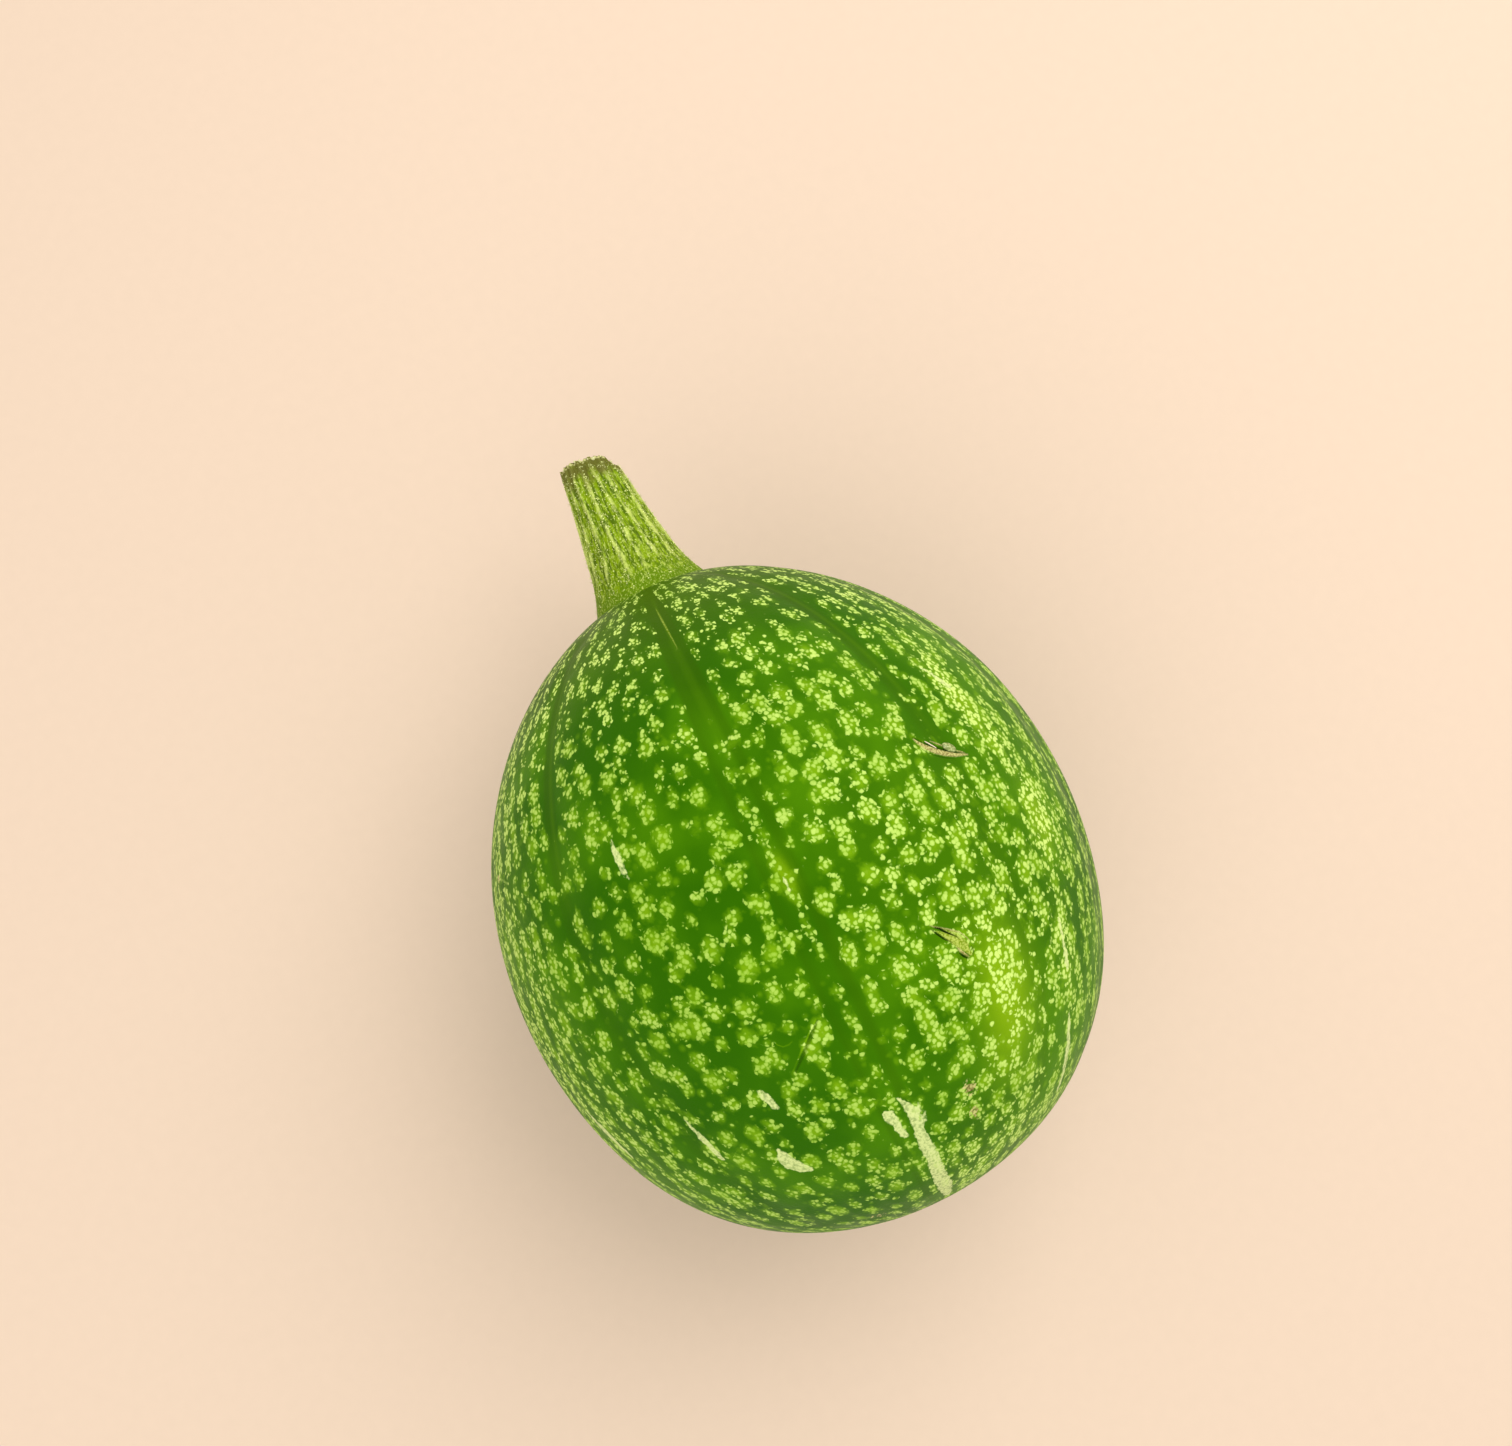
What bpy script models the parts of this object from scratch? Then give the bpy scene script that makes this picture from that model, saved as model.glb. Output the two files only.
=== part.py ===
"""Fig-leaf gourd: one fruit as picked, lying on its side with a short cut stalk.

The origin is the middle of the small flat spot that the fruit rests on, +Z is up,
and +Y is the way the stalk points, seen from above. Everything is in metres.
The fruit and the stalk are shaped along their own long axis first, with +X where
the top of the lying fruit will be, and are then laid down.
"""

import math

import bmesh
import bpy
from mathutils import Matrix, Vector

# Fruit
FRUIT_RADIUS = 0.075
FRUIT_HALF_LENGTH = 0.0853
# The outline is a half circle's root times a short sum in x, which runs from
# -1 at the blossom end to 1 at the stalk end: it makes the stalk end the slimmer one.
OUTLINE_SLOPE = -0.030
OUTLINE_FULLNESS = 0.029
OUTLINE_TAPER = -0.079

# Shallow furrows between the ribs, as angles round the fruit from its top.
# A rib, not a furrow, lies at 180 degrees, where the fruit rests.
FURROW_ANGLES = (-2, 35, 69, 102, 134, 163, 197, 238, 278, 318)
FURROW_DEPTH = 0.0011
FURROW_HALF_WIDTH = 5.0
FURROW_FADE_POWER = 8

# Dry scar that the flower left: a low ring round a shallow pit
SCAR_RING_RADIUS = 0.0072
SCAR_RING_HEIGHT = 0.0009
SCAR_RING_WIDTH = 0.0022
SCAR_PIT_DEPTH = 0.0012
SCAR_PIT_RADIUS = 0.0036

# How the fruit lies
STALK_END_RISE = 2.0
SPOT_DEPTH = 0.0010

# Stalk, with heights taken from the fruit's stalk end
STALK_LENGTH = 0.0376
STALK_CUT_RADIUS = 0.0066
STALK_WIDENING = 0.0057
FOOT_FLARE = 0.0034
FOOT_FLARE_POWER = 6
# Ridges, as an angle round the stalk from its top and a height
STALK_RIDGES = (
    (6, 0.00042),
    (29, 0.00036),
    (54, 0.00050),
    (80, 0.00062),
    (104, 0.00040),
    (128, 0.00046),
    (153, 0.00040),
    (178, 0.00052),
    (203, 0.00038),
    (227, 0.00050),
    (251, 0.00040),
    (276, 0.00062),
    (300, 0.00036),
    (321, 0.00048),
    (346, 0.00044),
)
RIDGE_HALF_WIDTH = 7.0
CUT_SLANT = 8.0
CUT_DISH = 0.0008
SEAT_GAP = 0.0003

# Fineness of the meshes
FRUIT_SIDES = 80
FRUIT_RINGS = 42
RING_CROWDING = 1.35
STALK_SIDES = 90
STALK_RINGS = 13
STALK_RING_CROWDING = 1.4
CAP_STEPS = 3
OUTLINE_SAMPLES = 400
MERGE_DISTANCE = 0.00001

# Finishes, as linear colour, roughness and metallic value
RIND_FINISH = ("rind", (0.110, 0.300, 0.010), 0.38, 0.0)
STALK_FINISH = ("stalk", (0.265, 0.380, 0.040), 0.62, 0.0)


def outline(x):
    """Radius of the fruit, before it is scaled, at x from -1 to 1 along it."""
    root = math.sqrt(max(0.0, 1.0 - x * x))
    return root * (1.0 + OUTLINE_SLOPE * x + OUTLINE_FULLNESS * x ** 2 + OUTLINE_TAPER * x ** 3)


def outline_steps():
    """Values of x from end to end, close enough to find extremes with."""
    return [math.cos(math.pi * step / OUTLINE_SAMPLES) for step in range(OUTLINE_SAMPLES + 1)]


OUTLINE_PEAK = max(outline(x) for x in outline_steps())


def smooth_radius(x):
    """Radius of the fruit at x with no furrows."""
    return FRUIT_RADIUS * outline(x) / OUTLINE_PEAK


def swell(angle, centre, half_width):
    """A smooth rise to 1 at an angle round the axis, all in degrees."""
    apart = (angle - centre + 180.0) % 360.0 - 180.0
    return math.exp(-(apart / half_width) ** 2)


def furrow_depth(x, angle):
    """How far the rind sinks below the smooth outline at x and an angle in degrees."""
    depth = sum(swell(angle, centre, FURROW_HALF_WIDTH) for centre in FURROW_ANGLES)
    along = (0.65 + 0.35 * x) * (1.0 - abs(x) ** FURROW_FADE_POWER)
    return FURROW_DEPTH * along * depth


def scar_height(distance):
    """Height of the blossom scar's relief at a distance from the long axis."""
    ring = SCAR_RING_HEIGHT * math.exp(-((distance - SCAR_RING_RADIUS) / SCAR_RING_WIDTH) ** 2)
    pit = SCAR_PIT_DEPTH * math.exp(-(distance / SCAR_PIT_RADIUS) ** 2)
    return ring - pit


def stalk_end_height(distance):
    """Height of the rind above the fruit's middle at a distance from the axis, by bisection."""
    low, high = 0.7, 1.0
    for _ in range(40):
        middle = (low + high) / 2.0
        if smooth_radius(middle) > distance:
            low = middle
        else:
            high = middle
    return FRUIT_HALF_LENGTH * low


def lying_matrix():
    """Matrix from the fruit's own axis to where it lies, its flat spot at the origin."""
    rise = math.radians(STALK_END_RISE)
    along = Vector((0.0, math.cos(rise), math.sin(rise)))
    upward = Vector((0.0, -math.sin(rise), math.cos(rise)))
    underside = [FRUIT_HALF_LENGTH * x * along - smooth_radius(x) * upward for x in outline_steps()]
    lowest = min(underside, key=lambda point: point.z)
    centre = Vector((0.0, -lowest.y, -lowest.z - SPOT_DEPTH))
    turn = Matrix((upward, along.cross(upward), along)).transposed()
    return Matrix.Translation(centre) @ turn.to_4x4()


def finish_material(name, color, roughness, metallic):
    """Principled material of one finish."""
    material = bpy.data.materials.new(name)
    material.use_nodes = True
    shader = material.node_tree.nodes["Principled BSDF"]
    shader.inputs["Base Color"].default_value = (*color, 1.0)
    shader.inputs["Roughness"].default_value = roughness
    shader.inputs["Metallic"].default_value = metallic
    return material


def add_object(bm, name, finish, collection):
    """Turns a finished bmesh into a smooth-shaded object with its material."""
    bm.normal_update()
    bmesh.ops.recalc_face_normals(bm, faces=bm.faces)
    mesh = bpy.data.meshes.new(name)
    bm.to_mesh(mesh)
    bm.free()
    mesh.shade_smooth()
    mesh.set_sharp_from_angle(angle=math.radians(40.0))
    mesh.materials.append(finish_material(*finish))
    collection.objects.link(bpy.data.objects.new(name, mesh))


def build_fruit(collection):
    """The whole fruit: ribs and furrows, the blossom scar and the flat spot below."""
    bm = bmesh.new()
    bmesh.ops.create_uvsphere(bm, u_segments=FRUIT_SIDES, v_segments=FRUIT_RINGS, radius=1.0)
    for vert in bm.verts:
        angle = math.degrees(math.atan2(vert.co.y, vert.co.x))
        from_blossom = math.pi - math.acos(max(-1.0, min(1.0, vert.co.z)))
        crowded = math.pi * (from_blossom / math.pi) ** RING_CROWDING
        x = -math.cos(crowded)
        radius = smooth_radius(x) - furrow_depth(x, angle)
        relief = scar_height(radius) if x < -0.5 else 0.0
        side = Vector((math.cos(math.radians(angle)), math.sin(math.radians(angle)), 0.0))
        vert.co = side * radius + Vector((0.0, 0.0, FRUIT_HALF_LENGTH * x - relief))
    bm.transform(lying_matrix())
    cut = bmesh.ops.bisect_plane(
        bm,
        geom=bm.verts[:] + bm.edges[:] + bm.faces[:],
        dist=MERGE_DISTANCE,
        plane_co=(0.0, 0.0, 0.0),
        plane_no=(0.0, 0.0, -1.0),
        clear_outer=True,
    )
    rim = [item for item in cut["geom_cut"] if isinstance(item, bmesh.types.BMEdge)]
    bmesh.ops.edgenet_fill(bm, edges=rim)
    add_object(bm, "fruit", RIND_FINISH, collection)


def stalk_radius(share, angle):
    """Stalk radius at a share of its height, 0 at the foot and 1 at the cut, and an angle in degrees."""
    down = 1.0 - share
    radius = STALK_CUT_RADIUS + STALK_WIDENING * down + FOOT_FLARE * down ** FOOT_FLARE_POWER
    ridges = sum(height * swell(angle, centre, RIDGE_HALF_WIDTH) for centre, height in STALK_RIDGES)
    return radius + ridges * min(1.0, 3.0 * share)


def build_stalk(collection):
    """The cut stalk: ribbed, flaring to a foot that sits on the rind, with a dished slanting cut."""
    bm = bmesh.new()
    bmesh.ops.create_cone(
        bm, cap_ends=True, cap_tris=False, segments=STALK_SIDES, radius1=1.0, radius2=1.0, depth=1.0
    )
    uprights = [edge for edge in bm.edges if abs(edge.verts[0].co.z - edge.verts[1].co.z) > 0.5]
    bmesh.ops.subdivide_edges(bm, edges=uprights, cuts=STALK_RINGS, use_grid_fill=True)
    for cap in [face for face in bm.faces if abs(face.normal.z) > 0.5]:
        for _ in range(CAP_STEPS - 1):
            bmesh.ops.inset_individual(bm, faces=[cap], thickness=1.0 / CAP_STEPS)
        bmesh.ops.poke(bm, faces=[cap])
    for vert in bm.verts:
        angle = math.atan2(vert.co.y, vert.co.x)
        share = (vert.co.z + 0.5) ** STALK_RING_CROWDING
        inward = min(1.0, math.hypot(vert.co.x, vert.co.y))
        reach = stalk_radius(share, math.degrees(angle)) * inward
        foot = stalk_end_height(reach) + SEAT_GAP
        slant = math.tan(math.radians(CUT_SLANT)) * reach * math.sin(angle)
        dish = CUT_DISH * (1.0 - inward ** 2)
        top = FRUIT_HALF_LENGTH + STALK_LENGTH - slant - dish
        vert.co = (reach * math.cos(angle), reach * math.sin(angle), foot + (top - foot) * share)
    bm.transform(lying_matrix())
    add_object(bm, "stalk", STALK_FINISH, collection)


def main():
    for item in list(bpy.data.objects):
        bpy.data.objects.remove(item, do_unlink=True)
    collection = bpy.data.collections.new("fig_leaf_gourd")
    bpy.context.scene.collection.children.link(collection)
    build_fruit(collection)
    build_stalk(collection)


main()
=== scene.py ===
"""Young fig-leaf gourd, dressed around its solids: speckled rind, ribbed stalk, hairs and scars.

Places on the rind are given as an angle round the fruit, in degrees from its top towards +X,
and a distance along the rind from the stalk end, in millimetres.
"""

from __future__ import annotations

import logging
import math
from collections.abc import Callable
from dataclasses import dataclass, field
from enum import Enum

import bmesh
import bpy
import numpy as np
from mathutils import Matrix, Vector
from mathutils.kdtree import KDTree


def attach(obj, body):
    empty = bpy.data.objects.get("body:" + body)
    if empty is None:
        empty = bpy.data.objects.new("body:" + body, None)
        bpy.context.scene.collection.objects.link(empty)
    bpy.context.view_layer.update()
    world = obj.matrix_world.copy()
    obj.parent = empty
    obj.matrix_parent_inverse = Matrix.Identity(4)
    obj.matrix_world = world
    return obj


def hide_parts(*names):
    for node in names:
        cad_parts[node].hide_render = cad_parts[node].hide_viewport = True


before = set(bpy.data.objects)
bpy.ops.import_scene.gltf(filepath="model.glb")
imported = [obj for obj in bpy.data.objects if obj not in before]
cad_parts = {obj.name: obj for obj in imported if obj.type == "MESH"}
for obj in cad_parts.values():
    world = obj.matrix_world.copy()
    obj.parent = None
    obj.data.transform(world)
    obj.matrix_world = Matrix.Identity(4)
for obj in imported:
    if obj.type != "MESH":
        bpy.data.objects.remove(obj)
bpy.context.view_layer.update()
LOG = logging.getLogger("gourd")
MM = 0.001

Color = tuple[float, float, float]
Socket = bpy.types.NodeSocket


class Field(Enum):
    """Numbers that a mesh carries at its points for its finish to read."""

    GROWTH = "growth"
    BAND = "band"
    FLECK = "fleck"
    # Each fleck's own brightness, raised at the flanks as painted sheen.
    GLOW = "glow"
    STREAK = "streak"
    VEIN = "vein"
    # The rind's own paler tone, with painted highlight and sheen laid in.
    PALE_AND_HIGHLIGHT = "pale"
    WARM = "warm"
    ENDS = "ends"
    RIDGE = "ridge"
    RISE = "rise"
    CUT = "cut"
    DRY = "dry"
    # Painted shade in scar grooves and painted shadows beside raised scar edges.
    PAINTED_SHADE = "dark"
    SAP = "sap"
    SCAB = "scab"
    CRISP = "crisp"


def smooth_step(value: np.ndarray, low: float, high: float) -> np.ndarray:
    """Rises smoothly from 0 at low to 1 at high, or falls if high is the smaller.

    Args:
        value: numbers to ease.
        low: where the result is 0.
        high: where the result is 1.

    Returns:
        Eased numbers of the same shape.
    """
    share = np.clip((value - low) / (high - low), 0.0, 1.0)
    return share * share * (3.0 - 2.0 * share)


def turned(angle: np.ndarray | float, centre: np.ndarray | float) -> np.ndarray | float:
    """Angle from a centre, in degrees, brought between -180 and 180."""
    return (angle - centre + 180.0) % 360.0 - 180.0


@dataclass(frozen=True)
class FruitForm:
    """Shape of the fruit and how it lies, by the rule that its solid follows.

    The outline is a half circle's root times a short sum in x, which runs from -1 at the
    blossom end to 1 at the stalk end. A turn is the half circle's angle from the stalk end.
    """

    radius: float = 0.075
    half_length: float = 0.0853
    slope: float = -0.030
    fullness: float = 0.029
    taper: float = -0.079
    furrows: tuple[int, ...] = (-2, 35, 69, 102, 134, 163, 197, 238, 278, 318)
    furrow_depth: float = 0.0011
    furrow_half_width: float = 5.0
    furrow_along: tuple[float, float] = (0.65, 0.35)
    furrow_fade: int = 8
    scar_ring: tuple[float, float, float] = (0.0072, 0.0005, 0.0022)
    scar_pit: tuple[float, float] = (0.0012, 0.0036)
    stalk_end_rise: float = 2.0
    spot_depth: float = 0.0010
    samples: int = 4001
    spread_share: float = 0.6

    def swell(self, x: np.ndarray) -> np.ndarray:
        """Factor of the half circle's root at x."""
        return 1.0 + self.slope * x + self.fullness * x ** 2 + self.taper * x ** 3

    def turns(self) -> np.ndarray:
        """Turns from the stalk end to the blossom end, in radians."""
        return np.linspace(0.0, np.pi, self.samples)

    def peak(self) -> float:
        """Largest value of the unscaled outline."""
        turns = self.turns()
        return float((np.sin(turns) * self.swell(np.cos(turns))).max())

    def smooth_radius(self, turn: np.ndarray) -> np.ndarray:
        """Radius at a turn, with no furrows."""
        return self.radius * np.sin(turn) * self.swell(np.cos(turn)) / self.peak()

    def distances(self) -> np.ndarray:
        """Measures along the rind from the stalk end.

        Returns:
            Metres, at each of turns().
        """
        turns = self.turns()
        steps = np.hypot(np.diff(self.half_length * np.cos(turns)), np.diff(self.smooth_radius(turns)))
        return np.concatenate([[0.0], np.cumsum(steps)])

    def turn_at(self, distance_mm: np.ndarray) -> np.ndarray:
        """Turn at a distance along the rind in millimetres."""
        return np.interp(np.asarray(distance_mm) * MM, self.distances(), self.turns())

    def furrow(self, turn: np.ndarray, angle: np.ndarray) -> np.ndarray:
        """Depth of the furrows below the smooth outline.

        Args:
            turn: radians from the stalk end.
            angle: degrees round the fruit from its top.

        Returns:
            Metres, one number for each point.
        """
        x = np.cos(turn)
        offs = [turned(angle, centre) / self.furrow_half_width for centre in self.furrows]
        depth = sum(np.exp(-off ** 2) for off in offs)
        level, slope = self.furrow_along
        return self.furrow_depth * (level + slope * x) * (1.0 - np.abs(x) ** self.furrow_fade) * depth

    def skin(self, angle: np.ndarray, turn: np.ndarray) -> np.ndarray:
        """Points of the rind along the fruit's own axis.

        Args:
            angle: degrees round the fruit from its top.
            turn: radians from the stalk end.

        Returns:
            One row of three metres for each point.
        """
        x = np.cos(turn)
        radius = self.smooth_radius(turn) - self.furrow(turn, angle)
        ring_at, ring_height, ring_width = self.scar_ring
        pit_depth, pit_radius = self.scar_pit
        relief = ring_height * np.exp(-((radius - ring_at) / ring_width) ** 2)
        relief = relief - pit_depth * np.exp(-(radius / pit_radius) ** 2)
        along = self.half_length * x - np.where(x < -0.5, relief, 0.0)
        around = np.radians(angle)
        return np.stack([radius * np.cos(around), radius * np.sin(around), along], axis=-1)

    def lying(self) -> Matrix:
        """Lays the fruit down on its flat spot, at the origin.

        Returns:
            Matrix from the fruit's own axis to where it lies.
        """
        rise = math.radians(self.stalk_end_rise)
        turns = self.turns()
        along = self.half_length * np.cos(turns)
        down = self.smooth_radius(turns)
        depth = along * math.sin(rise) - down * math.cos(rise)
        lowest = int(depth.argmin())
        reach = along[lowest] * math.cos(rise) + down[lowest] * math.sin(rise)
        axis = Vector((0.0, math.cos(rise), math.sin(rise)))
        upward = Vector((0.0, -math.sin(rise), math.cos(rise)))
        turn = Matrix((upward, axis.cross(upward), axis)).transposed()
        return Matrix.Translation((0.0, -reach, -depth[lowest] - self.spot_depth)) @ turn.to_4x4()

    def locate(self, points: np.ndarray) -> tuple[np.ndarray, np.ndarray]:
        """Finds where points lie on the rind.

        Args:
            points: rows of three metres along the fruit's own axis.

        Returns:
            Angles in degrees and turns in radians.
        """
        x = np.clip(points[:, 2] / self.half_length, -1.0, 1.0)
        round_share = np.hypot(points[:, 0], points[:, 1]) * self.peak() / (self.radius * self.swell(x))
        return np.degrees(np.arctan2(points[:, 1], points[:, 0])), np.arctan2(round_share, x)

    def spread(self, turn: np.ndarray) -> np.ndarray:
        """Radius in millimetres on which the speckle grows, which shrinks less than the fruit's."""
        return (self.spread_share * self.smooth_radius(turn) + (1.0 - self.spread_share) * self.radius) / MM

    def climb(self, turn: np.ndarray) -> np.ndarray:
        """Length along which the speckle grows, from the stalk end.

        Args:
            turn: radians from the stalk end.

        Returns:
            Millimetres, one number for each turn.
        """
        turns = self.turns()
        steps = np.diff(self.distances()) / MM
        rise = np.sqrt(np.clip(steps ** 2 - np.diff(self.spread(turns)) ** 2, 0.0, None))
        return np.interp(turn, turns, np.concatenate([[0.0], np.cumsum(rise)]))

    def growth(self, angle: np.ndarray, turn: np.ndarray) -> np.ndarray:
        """Seam-free pattern coordinates in millimetres.

        Args:
            angle: degrees round the fruit from its top.
            turn: radians from the stalk end.

        Returns:
            One row of three coordinates for each point.
        """
        wide = self.spread(turn)
        around = np.radians(angle)
        return np.stack([wide * np.cos(around), wide * np.sin(around), self.climb(turn)], axis=-1)

    def seat(self, reach: np.ndarray) -> np.ndarray:
        """Height of the stalk end's rind above the fruit's middle at a distance from the axis."""
        near = self.turns()[: self.samples // 3]
        return self.half_length * np.cos(np.interp(reach, self.smooth_radius(near), near))


FORM = FruitForm()


def add_shape(operator: Callable[..., object], **sizes: object) -> bpy.types.Object:
    """Adds a primitive mesh and selects it alone.

    Args:
        operator: Blender's operator for it.
        sizes: the operator's settings.

    Returns:
        The new object.
    """
    bpy.ops.object.select_all(action="DESELECT")
    operator(**sizes)
    return bpy.context.object


def cut_uprights(piece: bpy.types.Object, cuts: int) -> None:
    """Cuts a standing rod or cone into rings, across its upright edges.

    Args:
        piece: the rod or cone, one unit high and centred.
        cuts: number of cuts.
    """
    bpy.ops.object.mode_set(mode="EDIT")
    bpy.ops.mesh.select_mode(type="EDGE")
    mesh = bmesh.from_edit_mesh(piece.data)
    for edge in mesh.edges:
        edge.select = abs(edge.verts[0].co.z - edge.verts[1].co.z) > 0.5
    mesh.select_flush_mode()
    bpy.ops.mesh.subdivide(number_cuts=cuts)
    bpy.ops.object.mode_set(mode="OBJECT")


def points_of(mesh: bpy.types.Mesh) -> np.ndarray:
    """Reads a mesh's points.

    Args:
        mesh: the mesh.

    Returns:
        One row of three coordinates for each point.
    """
    flat = np.empty(len(mesh.vertices) * 3, dtype=np.float64)
    mesh.vertices.foreach_get("co", flat)
    return flat.reshape(-1, 3)


def place_points(mesh: bpy.types.Mesh, points: np.ndarray) -> None:
    """Moves a mesh's points to new coordinates."""
    mesh.vertices.foreach_set("co", points.astype(np.float32).ravel())
    mesh.update()


def moved(matrix: Matrix, points: np.ndarray) -> np.ndarray:
    """Points taken through a 4x4 matrix."""
    grid = np.array(matrix)
    return points @ grid[:3, :3].T + grid[:3, 3]


def unit(rows: np.ndarray) -> np.ndarray:
    """Rows of three brought to a length of 1."""
    return rows / np.linalg.norm(rows, axis=1, keepdims=True)


def write_field(mesh: bpy.types.Mesh, name: Field, values: np.ndarray) -> None:
    """Stores a number or a vector at each point of a mesh for its finish.

    Args:
        mesh: mesh that carries the field.
        name: which field.
        values: one number, or one row of three, for each point.
    """
    kind, key = ("FLOAT", "value") if values.ndim == 1 else ("FLOAT_VECTOR", "vector")
    layer = mesh.attributes.new(name.value, kind, "POINT")
    layer.data.foreach_set(key, values.astype(np.float32).ravel())


def dress(piece: bpy.types.Object, name: str, material: bpy.types.Material) -> None:
    """Names a piece, shades it smooth, gives it its finish and lets it ride on the part.

    Args:
        piece: finished object.
        name: name of the piece.
        material: its finish.
    """
    piece.name = name
    piece.data.name = name
    piece.data.shade_smooth()
    piece.data.materials.clear()
    piece.data.materials.append(material)
    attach(piece, "root")
    triangles = sum(len(face.vertices) - 2 for face in piece.data.polygons)
    LOG.info("%s: %d triangles", name, triangles)


class NodeSheet:
    """One material's node tree, with short methods for the nodes that the finishes share."""

    def __init__(self, name: str) -> None:
        """Starts a material with its Principled shader.

        Args:
            name: the material's name.
        """
        self.material = bpy.data.materials.new(name)
        self.material.use_nodes = True
        self.tree = self.material.node_tree
        self.shader = self.tree.nodes["Principled BSDF"]

    def add(self, kind: str, **settings: object) -> bpy.types.Node:
        """Adds a node.

        Args:
            kind: its type.
            settings: properties to set on it.

        Returns:
            The node.
        """
        node = self.tree.nodes.new(kind)
        for key, value in settings.items():
            setattr(node, key, value)
        return node

    def feed(self, socket: Socket, value: object) -> None:
        """Gives an input its value.

        Args:
            socket: the input.
            value: an output to link it to, or a constant.
        """
        if isinstance(value, bpy.types.NodeSocket):
            self.tree.links.new(value, socket)
        else:
            socket.default_value = value

    def field(self, name: Field) -> bpy.types.Node:
        """Node that reads one field of the mesh."""
        return self.add("ShaderNodeAttribute", attribute_name=name.value)

    def number(self, name: Field) -> Socket:
        """A field of the mesh as a number."""
        return self.field(name).outputs["Fac"]

    def metres(self) -> Socket:
        """The object's own coordinate, in metres."""
        return self.add("ShaderNodeTexCoord").outputs["Object"]

    def math(self, operation: str, *terms: object) -> Socket:
        """Adds a Math node.

        Args:
            operation: what it does.
            terms: up to three outputs or numbers.

        Returns:
            Its result.
        """
        node = self.add("ShaderNodeMath", operation=operation)
        for socket, value in zip(node.inputs, terms):
            self.feed(socket, value)
        return node.outputs[0]

    def sum(self, *terms: object) -> Socket:
        """Adds up any number of terms.

        Args:
            terms: outputs or numbers.

        Returns:
            Their sum.
        """
        total = terms[0]
        for term in terms[1:]:
            total = self.math("ADD", total, term)
        return total

    def times(self, first: object, second: object) -> Socket:
        """Product of two numbers."""
        return self.math("MULTIPLY", first, second)

    def swing(self, value: object, reach: float) -> Socket:
        """A number from 0 to 1 made to swing evenly about zero, over reach in all."""
        return self.math("MULTIPLY_ADD", value, reach, -0.5 * reach)

    def vector(self, operation: str, first: object, second: object) -> Socket:
        """Adds a Vector Math node.

        Args:
            operation: what it does.
            first: an output or three numbers.
            second: an output or three numbers.

        Returns:
            Its vector result.
        """
        node = self.add("ShaderNodeVectorMath", operation=operation)
        self.feed(node.inputs[0], first)
        self.feed(node.inputs[1], second)
        return node.outputs["Vector"]

    def clouds(self, where: Socket, size: float, detail: float = 2.0) -> bpy.types.Node:
        """Adds smooth random noise.

        Args:
            where: coordinate that it is read at.
            size: about how large its lumps are, in the coordinate's own unit.
            detail: how many finer layers it has.

        Returns:
            The noise's node.
        """
        node = self.add("ShaderNodeTexNoise", noise_dimensions="3D")
        self.feed(node.inputs["Vector"], where)
        node.inputs["Scale"].default_value = 1.0 / size
        node.inputs["Detail"].default_value = detail
        return node

    def noise(self, where: Socket, size: float, detail: float = 2.0) -> Socket:
        """Smooth random numbers from 0 to 1, as clouds() gives them."""
        return self.clouds(where, size, detail).outputs["Fac"]

    def cells(self, where: Socket, size: float) -> bpy.types.Node:
        """Adds random cells.

        Args:
            where: coordinate that they are read at.
            size: about how far apart they are, in the coordinate's own unit.

        Returns:
            The cells' node.
        """
        node = self.add("ShaderNodeTexVoronoi", voronoi_dimensions="3D", feature="F1")
        self.feed(node.inputs["Vector"], where)
        node.inputs["Scale"].default_value = 1.0 / size
        return node

    def shaken(self, where: Socket, size: float, reach: float) -> Socket:
        """Moves a coordinate about by noise.

        Args:
            where: the coordinate.
            size: size of the noise's lumps.
            reach: twice the furthest that it is moved along each axis.

        Returns:
            The moved coordinate.
        """
        noise = self.clouds(where, size, 1.0).outputs["Color"]
        centred = self.vector("SUBTRACT", noise, (0.5, 0.5, 0.5))
        return self.vector("ADD", where, self.vector("MULTIPLY", centred, (reach, reach, reach)))

    def step(self, value: object, low: float, high: float, start: float = 0.0, end: float = 1.0) -> Socket:
        """Eases a number between two levels.

        Args:
            value: the number.
            low: where the result is start.
            high: where the result is end. It may be the smaller of the two.
            start: result at low.
            end: result at high.

        Returns:
            The eased number.
        """
        node = self.add("ShaderNodeMapRange", interpolation_type="SMOOTHSTEP")
        backwards = low > high
        ends = (high, low, end, start) if backwards else (low, high, start, end)
        self.feed(node.inputs["Value"], value)
        for name, number in zip(("From Min", "From Max", "To Min", "To Max"), ends):
            node.inputs[name].default_value = number
        return node.outputs[0]

    def channel(self, color: Socket, index: int) -> Socket:
        """Takes one channel out of a colour.

        Args:
            color: the colour.
            index: 0, 1 or 2.

        Returns:
            The channel's number.
        """
        node = self.add("ShaderNodeSeparateColor")
        self.feed(node.inputs[0], color)
        return node.outputs[index]

    def blend(self, share: object, first: object, second: object) -> Socket:
        """Mixes two colours, each an output or three linear numbers.

        Args:
            share: how much of the second one shows.
            first: colour where share is 0.
            second: colour where share is 1.

        Returns:
            The mixed colour.
        """
        node = self.add("ShaderNodeMix", data_type="RGBA")
        self.feed(node.inputs[0], share)
        for socket, color in ((node.inputs[6], first), (node.inputs[7], second)):
            self.feed(socket, color if isinstance(color, bpy.types.NodeSocket) else (*color, 1.0))
        return node.outputs[2]

    def layered(self, color: object, layers: tuple[tuple[object, object], ...]) -> Socket:
        """Lays colours one over another.

        Args:
            color: the lowest one.
            layers: how much of each next one shows, and its colour.

        Returns:
            The mixed colour.
        """
        for share, layer in layers:
            color = self.blend(share, color, layer)
        return color

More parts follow.
